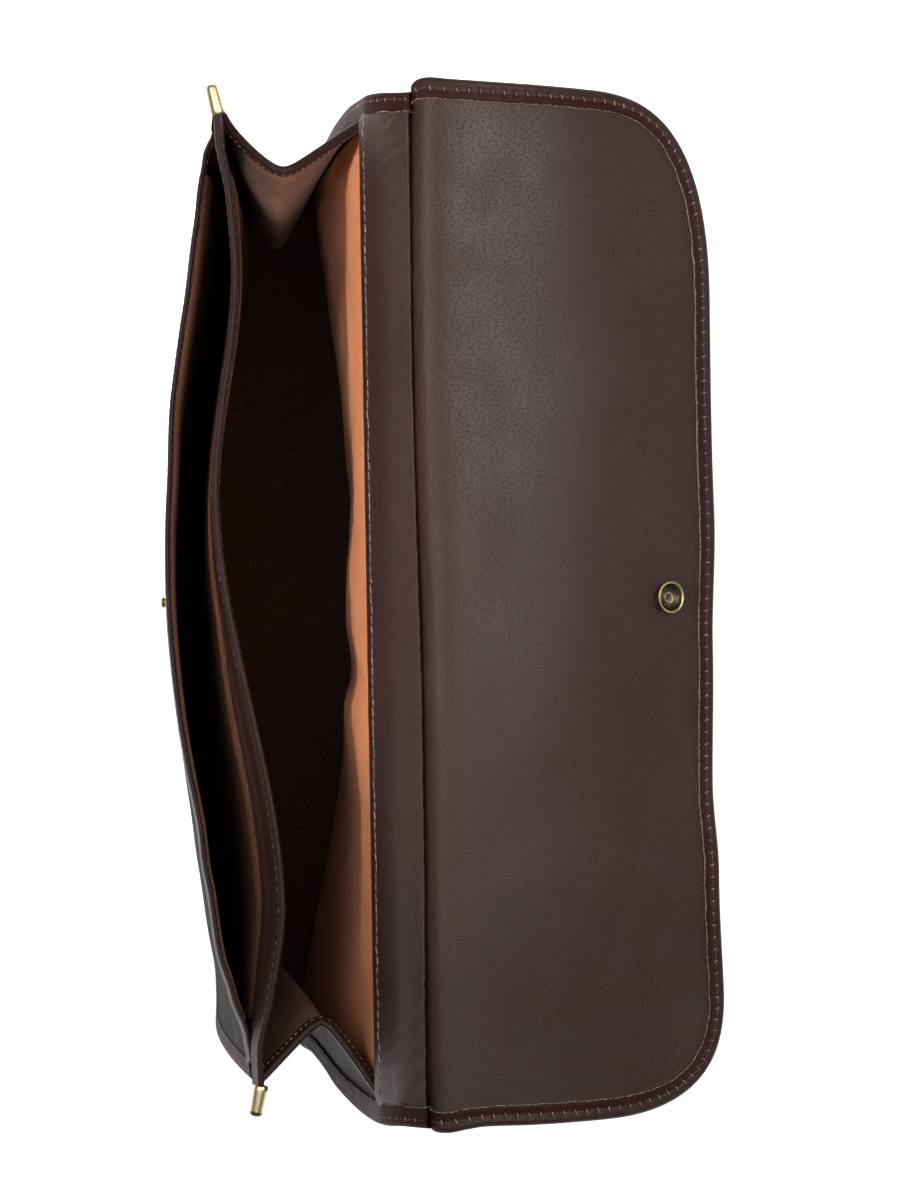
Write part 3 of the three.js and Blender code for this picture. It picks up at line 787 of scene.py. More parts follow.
class EdgePaths:
    """Edge paths of the case's panels, with points close together."""

    def __init__(self, form: CaseForm, spacing: float) -> None:
        """Keep the sizes and the spacing of the points."""
        self.form = form
        self.spacing = spacing

    def count(self, length: float) -> int:
        """Give the number of points on a stretch of edge."""
        return max(8, int(length / self.spacing))

    def panel(self, half: float, top: float) -> EdgePath:
        """Follow a panel down one side, round the lower corners, along the foot and up the other side.

        Args:
            half: Half length of the panel.
            top: Height that its sides reach.

        Returns:
            The edge.
        """
        radius = self.form.corner_radius
        climb = np.linspace(top, radius, self.count(top - radius))
        side = EdgePath(np.full_like(climb, half), climb, np.full_like(climb, -1.0), np.zeros_like(climb))
        turn = np.linspace(math.pi / 2, 0.0, self.count(radius * 1.5))
        corner = EdgePath(
            half - radius + radius * np.sin(turn), radius - radius * np.cos(turn), -np.sin(turn), np.cos(turn)
        )
        along = np.linspace(half - radius, radius - half, self.count(2 * half))
        foot = EdgePath(along, np.zeros_like(along), np.zeros_like(along), np.ones_like(along))
        mirrored = [
            EdgePath(-path.across, path.climb, -path.in_across, path.in_climb) for path in (side, corner)
        ]
        return joined([side, corner, foot, backwards(mirrored[1]), backwards(mirrored[0])])

    def rim(self, half: float, climb: float) -> EdgePath:
        """Follow a straight rim from one end to the other."""
        along = np.linspace(-half, half, self.count(2 * half))
        return EdgePath(along, np.full_like(along, climb), np.zeros_like(along), np.full_like(along, -1.0))

    def flap_side(self, end: End) -> EdgePath:
        """Follow one side of the flap out from the bend and round its free corner.

        Args:
            end: End of the case that the side is at.

        Returns:
            The edge.
        """
        form = self.form
        corner = form.corner_left if end is End.LEFT else form.corner_right
        start = form.hinge_start + form.binding_start
        run = np.linspace(start, form.flap_run - corner.run, self.count(form.flap_run))
        flat = np.zeros_like(run)
        side = EdgePath(end.value * (form.flap_half - form.hinge_cut(run)), run, flat - end.value, flat)
        turn = np.linspace(0.0, math.pi / 2, self.count(corner.across + corner.run))
        out, on = (np.maximum(part, 0.0) ** (2 / corner.power) for part in (np.cos(turn), np.sin(turn)))
        aside = corner.run * out ** (corner.power - 1)
        ahead = corner.across * on ** (corner.power - 1)
        normal = np.hypot(aside, ahead)
        arc = EdgePath(
            end.value * (form.flap_half - corner.across * (1 - out)),
            form.flap_run - corner.run * (1 - on),
            -end.value * aside / normal,
            -ahead / normal,
        )
        return joined([side, arc])

    def flap(self) -> EdgePath:
        """Follow the whole flap: out along one side, along the free edge and back along the other side."""
        right = self.flap_side(End.RIGHT)
        left = backwards(self.flap_side(End.LEFT))
        along = np.linspace(right.across[-1], left.across[0], self.count(right.across[-1] - left.across[0]))
        zero = np.zeros_like(along)
        free = EdgePath(along, zero + self.form.flap_run, zero, zero - 1.0)
        return joined([right, free, left])


@dataclass(frozen=True)
class FoldSection:
    """Section of a leather strip folded over an edge, from its inner boundary on one face to the other."""

    low: float
    high: float
    width: float
    low_width: float
    thickness: float
    roundness: float = 1.7
    flat_steps: int = 9
    fold_steps: int = 12
    skive: float = 1.0
    skive_share: float = 0.8

    @property
    def middle(self) -> float:
        """Lift of the middle of the stack."""
        return (self.high + self.low) / 2

    def points(self) -> tuple[Array, Array, Array]:
        """Trace the strip's middle line.

        Returns:
            Inset and lift of each point, and its distance from the nearer boundary.
        """
        half = self.thickness / 2
        top, bottom = self.high + half, self.low - half
        middle, reach = self.middle, (top - bottom) / 2
        turn = np.linspace(0.0, math.pi, self.fold_steps + 1)
        fold_in = half + self.roundness * (1 - np.sin(turn))
        fold_lift = middle + reach * np.cos(turn)
        inset = np.concatenate([
            np.linspace(self.width, fold_in[0], self.flat_steps + 1)[:-1],
            fold_in,
            np.linspace(fold_in[-1], self.low_width, self.flat_steps + 1)[1:],
        ])
        lift = np.concatenate([
            np.full(self.flat_steps, top), fold_lift, np.full(self.flat_steps, bottom),
        ])
        length = run_along(np.hypot(np.diff(inset), np.diff(lift)))
        nearer = np.minimum(length, length[-1] - length)
        thinning = half * self.skive_share * (1 - smooth(nearer / self.skive))
        lift = lift - np.sign(lift - middle) * thinning
        return inset, lift, nearer


@dataclass(frozen=True)
class RolledSection:
    """Section of a rolled rim, given by the corners of its middle line as inset and lift."""

    corners: Table
    thickness: float
    steps: int = 30

    @property
    def middle(self) -> float:
        """Lift of the middle of the rim."""
        lifts = [lift for _, lift in self.corners]
        return (max(lifts) + min(lifts)) / 2

    def points(self) -> tuple[Array, Array, Array]:
        """Trace the rim's middle line, with its corners rounded.

        Returns:
            Inset and lift of each point, and its distance from the nearer boundary.
        """
        line = np.array(self.corners, float)
        for _ in range(3):
            cut = np.stack([0.75 * line[:-1] + 0.25 * line[1:], 0.25 * line[:-1] + 0.75 * line[1:]], axis=1)
            line = np.concatenate([line[:1], cut.reshape(-1, 2), line[-1:]])
        length = run_along(np.linalg.norm(np.diff(line, axis=0), axis=1))
        at = np.linspace(0.0, length[-1], self.steps + 1)
        inset, lift = (np.interp(at, length, line[:, k]) for k in range(2))
        return inset, lift, np.minimum(at, at[-1] - at)


class Bench:
    """Makes, shapes and finishes meshes with the modelling operators."""

    @staticmethod
    def clear() -> None:
        """Deselect everything and leave edit mode."""
        if bpy.context.object is not None and bpy.context.object.mode != "OBJECT":
            bpy.ops.object.mode_set(mode="OBJECT")
        bpy.ops.object.select_all(action="DESELECT")

    @classmethod
    def grid(cls, name: str, columns: int, rows: int) -> tuple[Object, Array, Array]:
        """Add a flat grid to bend a pattern from.

        Args:
            name: Name of the piece.
            columns: Number of points across.
            rows: Number of points up.

        Returns:
            The piece, and each vertex's column and row.
        """
        cls.clear()
        bpy.ops.mesh.primitive_grid_add(x_subdivisions=columns - 1, y_subdivisions=rows - 1, size=1.0)
        piece = bpy.context.object
        piece.name = piece.data.name = name
        flat = np.zeros(len(piece.data.vertices) * 3)
        piece.data.vertices.foreach_get("co", flat)
        flat = flat.reshape(-1, 3)
        column = np.rint((flat[:, 0] + 0.5) * (columns - 1)).astype(int)
        row = np.rint((flat[:, 1] + 0.5) * (rows - 1)).astype(int)
        return piece, column, row

    @staticmethod
    def bend(piece: Object, points: Array, pattern: Array) -> None:
        """Move a grid's vertices into place and keep its flat pattern as the UV map.

        Args:
            piece: The grid.
            points: Place of each vertex, in metres.
            pattern: Flat pattern coordinates of each vertex, in millimetres.
        """
        mesh = piece.data
        mesh.vertices.foreach_set("co", points.astype(np.float32).ravel())
        corner = np.zeros(len(mesh.loops), np.int32)
        mesh.loops.foreach_get("vertex_index", corner)
        layer = mesh.uv_layers[0]
        layer.name = "pattern"
        layer.data.foreach_set("uv", (pattern[corner] / UV_UNIT).astype(np.float32).ravel())
        mesh.update()

    @classmethod
    def modify(cls, piece: Object, kind: str, **settings: object) -> None:
        """Add a modifier, set it and apply it.

        Args:
            piece: The piece.
            kind: Kind of modifier.
            settings: Values of the modifier's settings.
        """
        cls.clear()
        piece.select_set(True)
        bpy.context.view_layer.objects.active = piece
        modifier = piece.modifiers.new(kind.title(), kind)
        for key, value in settings.items():
            setattr(modifier, key, value)
        bpy.ops.object.modifier_apply(modifier=modifier.name)

    @classmethod
    def thicken(cls, piece: Object, thickness: float, round_edge: float = 0.25) -> None:
        """Give a bent sheet its thickness and ease its cut edges.

        Args:
            piece: The bent sheet.
            thickness: Thickness in millimetres.
            round_edge: Width of the eased edge in millimetres.
        """
        cls.modify(piece, "SOLIDIFY", thickness=thickness * MM, offset=0.0, use_quality_normals=True)
        if round_edge > 0:
            cls.modify(
                piece, "BEVEL", width=round_edge * MM, segments=2, limit_method="ANGLE",
                angle_limit=math.radians(50), use_clamp_overlap=True,
            )
        cls.soften(piece)

    @classmethod
    def soften(cls, piece: Object, angle: float = 50.0) -> None:
        """Shade a piece smooth, apart from its sharp edges."""
        cls.clear()
        piece.select_set(True)
        bpy.context.view_layer.objects.active = piece
        bpy.ops.object.shade_smooth_by_angle(angle=math.radians(angle))

    @classmethod
    def spun(cls, name: str, profile: Table, steps: int = 56) -> Object:
        """Spin a profile of radius and height, in millimetres, about Z.

        Args:
            name: Name of the piece.
            profile: Rows of radius and height, from axis to axis.
            steps: Number of steps round.

        Returns:
            The turned piece at the origin.
        """
        cls.clear()
        bpy.ops.mesh.primitive_plane_add(size=1.0)
        piece = bpy.context.object
        piece.name = piece.data.name = name
        outline = [(radius * MM, 0.0, height * MM) for radius, height in profile]
        piece.data.clear_geometry()
        piece.data.from_pydata(outline, [(i, i + 1) for i in range(len(outline) - 1)], [])
        bpy.ops.object.mode_set(mode="EDIT")
        bpy.ops.mesh.select_all(action="SELECT")
        bpy.ops.mesh.spin(steps=steps, angle=math.tau, center=(0, 0, 0), axis=(0, 0, 1))
        bpy.ops.mesh.select_all(action="SELECT")
        bpy.ops.mesh.remove_doubles(threshold=0.00001)
        bpy.ops.mesh.normals_make_consistent(inside=False)
        bpy.ops.object.mode_set(mode="OBJECT")
        return piece

    @staticmethod
    def stand(piece: Object, origin: Array, axis: Array) -> None:
        """Stand a turned piece on a point, in its mesh.

        Args:
            piece: The turned piece.
            origin: The point, in metres.
            axis: Direction of its axis.
        """
        side = unit(np.cross([0.0, 0.0, 1.0] if abs(axis[2]) < 0.9 else [1.0, 0.0, 0.0], axis))
        basis = np.stack([side, np.cross(axis, side), axis])
        flat = np.zeros(len(piece.data.vertices) * 3)
        piece.data.vertices.foreach_get("co", flat)
        points = flat.reshape(-1, 3) @ basis + origin
        piece.data.vertices.foreach_set("co", points.astype(np.float32).ravel())
        piece.data.update()


class Tree:
    """A material's node tree, built node by node onto its shader."""

    def __init__(self, name: str) -> None:
        """Start a material with its shader."""
        self.material = bpy.data.materials.new(name)
        self.material.use_nodes = True
        self.nodes = self.material.node_tree.nodes
        self.links = self.material.node_tree.links
        self.shader = self.nodes["Principled BSDF"]

    def feed(self, socket: Socket, value: object) -> None:
        """Link a socket to another, or set its value."""
        if isinstance(value, Socket):
            self.links.new(value, socket)
        else:
            socket.default_value = value

    def add(self, kind: str, settings: dict[str, object] | None = None, **inputs: object) -> bpy.types.Node:
        """Add a node.

        Args:
            kind: Kind of node, without its prefix.
            settings: Values of the node's own settings.
            inputs: Values or sources of its inputs, with spaces written as underscores.

        Returns:
            The node.
        """
        node = self.nodes.new("ShaderNode" + kind)
        for key, value in (settings or {}).items():
            setattr(node, key, value)
        for key, value in inputs.items():
            self.feed(node.inputs[key.replace("_", " ")], value)
        return node

    def surface(self, **inputs: object) -> None:
        """Set or link the shader's inputs, with spaces written as underscores."""
        for key, value in inputs.items():
            self.feed(self.shader.inputs[key.replace("_", " ")], value)

    def place(self) -> Socket:
        """Give the place on the object."""
        return self.add("TexCoord").outputs["Object"]

    def pattern(self) -> Socket:
        """Give the place on the flat pattern."""
        return self.add("UVMap", {"uv_map": "pattern"}).outputs["UV"]

    def noise(self, at: Socket, scale: float, detail: float = 3.0) -> Socket:
        """Give noise of a scale."""
        return self.add("TexNoise", Vector=at, Scale=scale, Detail=detail).outputs["Fac"]

    def span(
        self, value: Socket, low: float, high: float, to_low: float = 0.0, to_high: float = 1.0
    ) -> Socket:
        """Map a span of values smoothly onto another.

        Args:
            value: Values to map.
            low: Value at the span's start.
            high: Value at its end.
            to_low: Value that the start becomes.
            to_high: Value that the end becomes.

        Returns:
            The mapped values.
        """
        node = self.add(
            "MapRange", {"interpolation_type": "SMOOTHSTEP"},
            Value=value, From_Min=low, From_Max=high, To_Min=to_low, To_Max=to_high,
        )
        return node.outputs["Result"]

    def mix(self, share: Socket, first: object, second: object) -> Socket:
        """Mix two colours by a share."""
        node = self.add("Mix", {"data_type": "RGBA"})
        self.feed(node.inputs[0], share)
        self.feed(node.inputs[6], first)
        self.feed(node.inputs[7], second)
        return node.outputs[2]

    def math(self, operation: str, first: object, second: object) -> Socket:
        """Work out a value from two."""
        node = self.add("Math", {"operation": operation})
        self.feed(node.inputs[0], first)
        self.feed(node.inputs[1], second)
        return node.outputs[0]

    def bump(self, height: Socket, depth: float, strength: float = 1.0) -> None:
        """Raise the surface by a height, as deep as given in millimetres."""
        node = self.add("Bump", Height=height, Distance=depth * MM, Strength=strength)
        self.surface(Normal=node.outputs["Normal"])


def opaque(colour: Colour) -> tuple[float, float, float, float]:
    """Give a colour with full cover."""
    return (*colour, 1.0)


def darker(colour: Colour, share: float) -> tuple[float, float, float, float]:
    """Give a share of a colour, with full cover."""
    return opaque(tuple(share * part for part in colour))


@dataclass(frozen=True)
class LeatherFinish:
    """Dyed leather with pores, fine grain and slight cloudiness."""

    name: str
    colour: Colour
    cloud: Colour
    rough: float
    pore_spacing: float = 1.5
    pore_depth: float = 0.11
    pore_dark: float = 0.58
    grain_spacing: float = 0.9
    gloss: float = 0.36
    raw: Colour | None = None
    raw_width: float = 0.3
    edge_gloss: float = 1.0
    dull_width: tuple[float, float] = (2.9, 4.2)
    fray: float = 1.6
    fleck: float = 0.6

    def make(self) -> Material:
        """Build the material."""
        tree = Tree(self.name)
        at, along = tree.place(), tree.pattern()
        cloud = tree.span(tree.noise(at, 22.0), 0.3, 0.7)
        drawn = tree.add("Mapping", Vector=along, Scale=(1.25, 0.6, 1.0)).outputs["Vector"]
        cells = tree.add(
            "TexVoronoi", {"voronoi_dimensions": "2D"}, Vector=drawn, Scale=UV_UNIT / self.pore_spacing
        ).outputs["Distance"]
        pores = tree.span(cells, 0.03, 0.2)
        grain = tree.noise(at, 1 / (self.grain_spacing * MM), 4.0)
        shade = tree.mix(cloud, opaque(self.colour), opaque(self.cloud))
        shade = tree.mix(pores, darker(self.colour, self.pore_dark), shade)
        shade = tree.mix(tree.span(grain, 0.32, 0.55), darker(self.colour, self.fleck), shade)
        gloss: object = self.gloss
        if self.raw is not None:
            inside = tree.add("SeparateXYZ", Vector=along).outputs["Y"]
            fray = self.fray / UV_UNIT
            frayed = tree.math("MULTIPLY_ADD", tree.noise(along, 70.0, 3.0), fray)
            frayed.node.inputs[2].default_value = -fray / 2
            edge = tree.math("ADD", inside, frayed)
            width = self.raw_width / UV_UNIT
            shade = tree.mix(tree.span(edge, width * 0.6, width), opaque(self.raw), shade)
            start, stop = (distance / UV_UNIT for distance in self.dull_width)
            gloss = tree.span(edge, start, stop, self.edge_gloss * self.gloss, self.gloss)
        height = tree.math("ADD", tree.math("MULTIPLY", grain, 0.6), pores)
        tree.surface(
            Base_Color=shade,
            Roughness=tree.span(tree.noise(at, 60.0), 0.2, 0.8, self.rough - 0.05, self.rough + 0.06),
            Specular_IOR_Level=gloss,
        )
        tree.bump(height, self.pore_depth)
        return tree.material


@dataclass(frozen=True)
class SuedeFinish:
    """Brushed flesh side of leather, with nap in patches, and painted shade: a dark colour at the foot that
    fades out up the pattern.
    """

    name: str
    colour: Colour
    nap: Colour
    sheen: float = 0.06
    # foot and fade: painted shade, a dark colour at the foot of the pattern that fades out between two rises
    foot: Colour | None = None
    fade: tuple[float, float] = (0.2, 2.1)

    def make(self) -> Material:
        """Build the material."""
        tree = Tree(self.name)
        at = tree.place()
        patch = tree.span(tree.noise(at, 45.0, 5.0), 0.3, 0.72)
        fibre = tree.noise(at, 1100.0, 3.0)
        shade = tree.mix(patch, opaque(self.colour), opaque(self.nap))
        shade = tree.mix(tree.span(fibre, 0.3, 0.6), darker(self.colour, 0.45), shade)
        # Painted shade: mix towards the dark foot colour low on the pattern, fading out further up
        if self.foot is not None:
            rise = tree.add("SeparateXYZ", Vector=tree.pattern()).outputs["Y"]
            shade = tree.mix(tree.span(rise, *self.fade), opaque(self.foot), shade)
        tree.surface(
            Base_Color=shade,
            Roughness=tree.span(fibre, 0.2, 0.8, 0.86, 0.98),
            Sheen_Weight=self.sheen,
            Sheen_Roughness=0.5,
            Specular_IOR_Level=0.15,
        )
        tree.bump(tree.math("ADD", fibre, patch), 0.15)
        return tree.material


@dataclass(frozen=True)
class ClothFinish:
    """Plain woven lining cloth, cloudy between two colours, with its threads' spacing in millimetres."""

    name: str
    colour: Colour
    shade: Colour
    thread: float = 0.7

    def make(self) -> Material:
        """Build the material."""
        tree = Tree(self.name)
        along = tree.pattern()
        scale = math.tau / 20.0 / (self.thread / UV_UNIT)
        warp, weft = (
            tree.add("TexWave", {"bands_direction": axis}, Vector=along, Scale=scale, Distortion=0.6)
            for axis in "XY"
        )
        weave = tree.math("MULTIPLY", warp.outputs["Fac"], weft.outputs["Fac"])
        cloud = tree.span(tree.noise(along, 3.0), 0.3, 0.7)
        slub = tree.noise(along, 60.0, 4.0)
        colour = tree.mix(cloud, opaque(self.colour), opaque(self.shade))
        gaps = tree.span(tree.math("ADD", weave, slub), 0.3, 0.9)
        colour = tree.mix(gaps, darker(self.shade, 0.72), colour)
        tree.surface(
            Base_Color=colour,
            Roughness=tree.span(slub, 0.2, 0.8, 0.72, 0.88),
            Sheen_Weight=0.04,
            Sheen_Roughness=0.4,
            Specular_IOR_Level=0.2,
        )
        tree.bump(weave, 0.12)
        return tree.material


@dataclass(frozen=True)
class BrassFinish:
    """Polished brass, duller and browner in patches."""

    name: str
    colour: Colour
    tarnish: Colour
    rough: float

    def make(self) -> Material:
        """Build the material."""
        tree = Tree(self.name)
        at = tree.place()
        spots = tree.span(tree.noise(at, 420.0, 4.0), 0.42, 0.78)
        scratches = tree.noise(at, 2600.0, 2.0)
        tree.surface(
            Base_Color=tree.mix(spots, opaque(self.colour), opaque(self.tarnish)),
            Metallic=1.0,
            Roughness=tree.span(scratches, 0.2, 0.8, self.rough, self.rough + 0.12),
        )
        tree.bump(scratches, 0.01)
        return tree.material


@dataclass(frozen=True)
class ThreadFinish:
    """Waxed sewing thread."""

    name: str
    colour: Colour
    dark: Colour

    def make(self) -> Material:
        """Build the material."""
        tree = Tree(self.name)
        at = tree.place()
        twist = tree.noise(at, 1900.0, 2.0)
        patch = tree.span(tree.noise(at, 130.0, 2.0), 0.35, 0.65)
        shade = tree.mix(patch, opaque(self.colour), opaque(self.dark))
        tree.surface(
            Base_Color=tree.mix(tree.span(twist, 0.3, 0.6), opaque(self.dark), shade),
            Roughness=tree.span(twist, 0.2, 0.8, 0.5, 0.7),
            Specular_IOR_Level=0.3,
        )
        tree.bump(twist, 0.08)
        return tree.material


class Finishes:
    """The finishes of the case."""

    def __init__(self) -> None:
        """Make each finish once."""
        brown, cloudy = (0.042, 0.0190, 0.0165), (0.050, 0.0240, 0.0215)
        wine, wine_cloud = (0.030, 0.0082, 0.0080), (0.039, 0.0122, 0.0116)
        raw = (0.22, 0.165, 0.145)
        self.leather = LeatherFinish("brown_leather", brown, cloudy, 0.37, gloss=0.31).make()
        self.facing = LeatherFinish("band_leather", brown, cloudy, 0.41, grain_spacing=1.4, gloss=0.54).make()
        self.outside = LeatherFinish(
            "grained_leather", (0.021, 0.0118, 0.0102), (0.028, 0.016, 0.014), 0.62, pore_spacing=1.6,
            pore_depth=0.5, pore_dark=0.4, grain_spacing=1.2, gloss=0.06,
        ).make()
        self.strip = LeatherFinish(
            "strip_leather", wine, wine_cloud, 0.44, gloss=0.27, raw=raw, edge_gloss=0.35
        ).make()
        self.dull_strip = LeatherFinish(
            "dull_strip_leather", wine, wine_cloud, 0.58, gloss=0.11, raw=raw
        ).make()
        self.hem = LeatherFinish("hem_leather", (0.020, 0.0088, 0.0080), wine, 0.40, gloss=0.24).make()
        # Painted shade: a dark copy of the brown suede; the folding ends' suede fades to it towards their
        # foot, and the base's inside is all of it.
        painted_shade_suede = (0.080, 0.040, 0.029)
        self.suede = SuedeFinish(
            "brown_suede", (0.22, 0.112, 0.074), (0.33, 0.178, 0.125), foot=painted_shade_suede, fade=(0.8, 2.4)
        ).make()
        self.painted_shade_base = SuedeFinish("shaded_base_lining", painted_shade_suede, (0.095, 0.048, 0.035), 0.02).make()
        self.pocket = SuedeFinish(
            "brown_pocket_cloth", (0.110, 0.046, 0.023), (0.140, 0.060, 0.031), 0.0
        ).make()
        # Copper cloth for the front's lining, fading to a dark colour below a strip at the rim: painted
        # shade.
        self.copper = SuedeFinish(
            "copper_pocket_cloth", (0.22, 0.100, 0.053), (0.27, 0.125, 0.068), 0.0,
            (0.030, 0.014, 0.008), (2.08, 2.42),
        ).make()
        self.pale_brass = BrassFinish("pale_brass", (0.80, 0.68, 0.60), (0.62, 0.50, 0.44), 0.42).make()
        self.cloth = ClothFinish("tan_cloth", (0.88, 0.338, 0.145), (0.79, 0.295, 0.122)).make()
        # Painted shade: a dark copy of the tan lining cloth.
        self.painted_shade_cloth = ClothFinish("shaded_tan_lining", (0.13, 0.052, 0.024), (0.11, 0.043, 0.019)).make()
        self.brass = BrassFinish("bright_brass", (0.78, 0.64, 0.39), (0.68, 0.55, 0.32), 0.24).make()
        self.old_brass = BrassFinish("old_brass", (0.80, 0.60, 0.29), (0.50, 0.36, 0.16), 0.2).make()
        # Painted shade: a dark copy of brass, for the recess of the snap's cup and the rounded ends of the
        # tips.
        self.shaded_brass = BrassFinish("shaded_brass", (0.17, 0.15, 0.10), (0.06, 0.055, 0.04), 0.28).make()
        self.thread = ThreadFinish("brown_thread", (0.13, 0.065, 0.050), (0.075, 0.036, 0.028)).make()
        self.knot = ThreadFinish("tan_knot", (0.50, 0.300, 0.235), (0.26, 0.140, 0.105)).make()
        self.pale_thread = ThreadFinish("pale_thread", (0.25, 0.180, 0.160), (0.13, 0.090, 0.078)).make()
        self.bright_thread = ThreadFinish("bright_thread", (0.52, 0.380, 0.315), (0.23, 0.150, 0.120)).make()


@dataclass(frozen=True)
class Label:
    """A piece's name, its slot of the record, its finish, its CAD node, and its other finish."""

    name: str
    slot: Slot
    material: Material
    node: str | None = None
    other: Material | None = None


def finished(piece: Object, label: Label) -> Object:
    """Dress a piece and let it ride with the case.

    Args:
        piece: The piece.
        label: What it is called and dressed in.

    Returns:
        The piece.
    """
    for material in (label.material, label.other):
        if material is not None and material.name not in piece.data.materials:
            piece.data.materials.append(material)
    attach(piece, BODY)
    if label.node is not None:
        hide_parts(label.node)
    LOG.info("%s: %d faces", piece.name, len(piece.data.polygons))
    return piece


@dataclass(frozen=True)
class Sheet:
    """A sheet cut from a flat pattern and bent to a wall.

    Its columns reach over a share of its half width. It may stand proud by place on the pattern, and its top
    edge may be pressed in by its thickness over a height.
    """

    label: Label
    wall: Wall
    rows: Array
    columns: int
    half_at: Measure
    lift: float
    thickness: float
    reach: float = 1.0
    press: float = 0.0
    proud: Measure | None = None

    def lay(self) -> Object:
        """Cut the sheet from a grid, bend it, and give it its thickness and finish.

        Returns:
            The sheet.
        """
        piece, column, row = Bench.grid(self.label.name, self.columns, len(self.rows))
        share = np.linspace(-self.reach, self.reach, self.columns)[column]
        climb = self.rows[row]
        across = share * self.half_at(climb, share)
        height = np.full_like(across, self.lift)
        if self.proud is not None:
            height = height + self.proud(across, climb)
        if self.press > 0:
            pressed = smooth((climb - self.rows[-1] + self.press) / self.press)
            height = height - math.copysign(self.thickness, self.lift) * pressed
        Bench.bend(piece, self.wall.place(across, climb, height), np.stack([across, climb], axis=1))
        Bench.thicken(piece, self.thickness)
        return finished(piece, self.label)

    def stretch(self, under: str, width: float) -> None:
        """Lay the sheet as cloth."""
        self.lay()


def rows_between(stops: Sequence[float], spacing: float) -> Array:
    """Space rows between stops, close to a spacing."""
    rows = [np.array([stops[0]])]
    for low, high in zip(stops, stops[1:]):
        count = max(1, round((high - low) / spacing))
        rows.append(np.linspace(low, high, count + 1)[1:])
    return np.concatenate(rows)


@dataclass(frozen=True)
class Pucker:
    """Dents of a line of stitching: its inset and pitch, and their depth, reaches and evenness."""

    inset: float
    pitch: float
    depth: float = 0.30
    width: float = 1.1
    reach: float = 1.2
    even: float = 0.3

    def at(self, along: Array, inset: Array) -> Array:
        """Give the depth of the dents at places along and inside the edge."""
        beside = np.exp(-(((inset - self.inset) / self.width) ** 2))
        near = (along + self.pitch / 2) % self.pitch - self.pitch / 2
        return self.depth * beside * (self.even + (1 - self.even) * np.exp(-((near / self.reach) ** 2)))


@dataclass(frozen=True)
class Strip:
    """A leather strip folded over an edge, dented by its stitching and cut with a slight wobble."""

    label: Label
    wall: Wall
    path: EdgePath
    section: FoldSection | RolledSection
    pucker: Pucker
    wobble: float = 0.0
    wobble_length: float = 11.0
    wobble_reach: float = 3.0
    faces_apart: float = 60.0
    pressed: float = 0.9
    seed: int = 31

    def fold(self) -> None:
        """Fold the strip over its edge, and give it its thickness and finish."""
        inset, lift, nearer = self.section.points()
        along = self.path.lengths()
        piece, column, row = Bench.grid(self.label.name, len(along), len(inset))
        side = np.sign(lift[row] - self.section.middle)
        ripple = Ripple(self.wobble, self.wobble_length, self.seed)
        uneven = ripple.at(along[column], self.faces_apart * side)
        inside = inset[row] + uneven * np.clip(1 - nearer[row] / self.wobble_reach, 0.0, 1.0)
        across, climb = self.path.taken(column).inset(inside)
        height = lift[row] - side * self.pucker.at(along[column], inset[row])
        pattern = np.stack([along[column], nearer[row]], axis=1)
        Bench.bend(piece, self.wall.place(across, climb, height), pattern)
        Bench.thicken(piece, self.section.thickness * self.pressed, 0.0)
        finished(piece, self.label)


@dataclass(frozen=True)
class Rail:
    """A line on a wall that stitches follow, with the outward normal and the edge's length at each point."""

    points: Array
    normals: Array
    lengths: Array
    end_share: float = 0.3
    aim_share: float = 0.25

    @classmethod
    def on(cls, wall: Wall, path: EdgePath, inset: float, lift: float, tilt: float = 0.0) -> "Rail":
        """Lay a rail inside an edge, on the wall's upper face, or on its lower face for a lift below zero.

        Args:
            wall: The wall.
            path: Edge that the rail follows.
            inset: Distance inside the edge.
            lift: Lift off the wall's middle surface.
            tilt: Turn of the normals towards the edge, in degrees.

        Returns:
            The rail.
        """
        across, climb = path.inset(inset)
        height = np.full_like(across, lift)
        points = wall.place(across, climb, height)
        normals = math.copysign(1.0, lift) * wall.normals(across, climb)
        edgeward = unit(wall.place(*path.inset(inset - STEP), height) - points)
        turn = math.radians(tilt)
        normals = unit(normals * math.cos(turn) + edgeward * math.sin(turn))
        return cls(points, normals, path.lengths() * MM)

    def spaced(self, pitch: float, start: float = 0.5) -> Places:
        """Space places along the rail.

        Args:
            pitch: Distance between places in millimetres.
            start: Share of a pitch before the first place.

        Returns:
            Points, directions along and outward normals.
        """
        stop = self.lengths[-1] - self.end_share * pitch * MM
        at = np.arange(start * pitch * MM, stop, pitch * MM)
        reach = self.aim_share * pitch * MM

        def read(rows: Array, where: Array) -> Array:
            """Read rows between points."""
            return np.stack([np.interp(where, self.lengths, rows[:, k]) for k in range(3)], axis=1)

        along = unit(read(self.points, at + reach) - read(self.points, at - reach))
        return read(self.points, at), along, unit(read(self.normals, at))


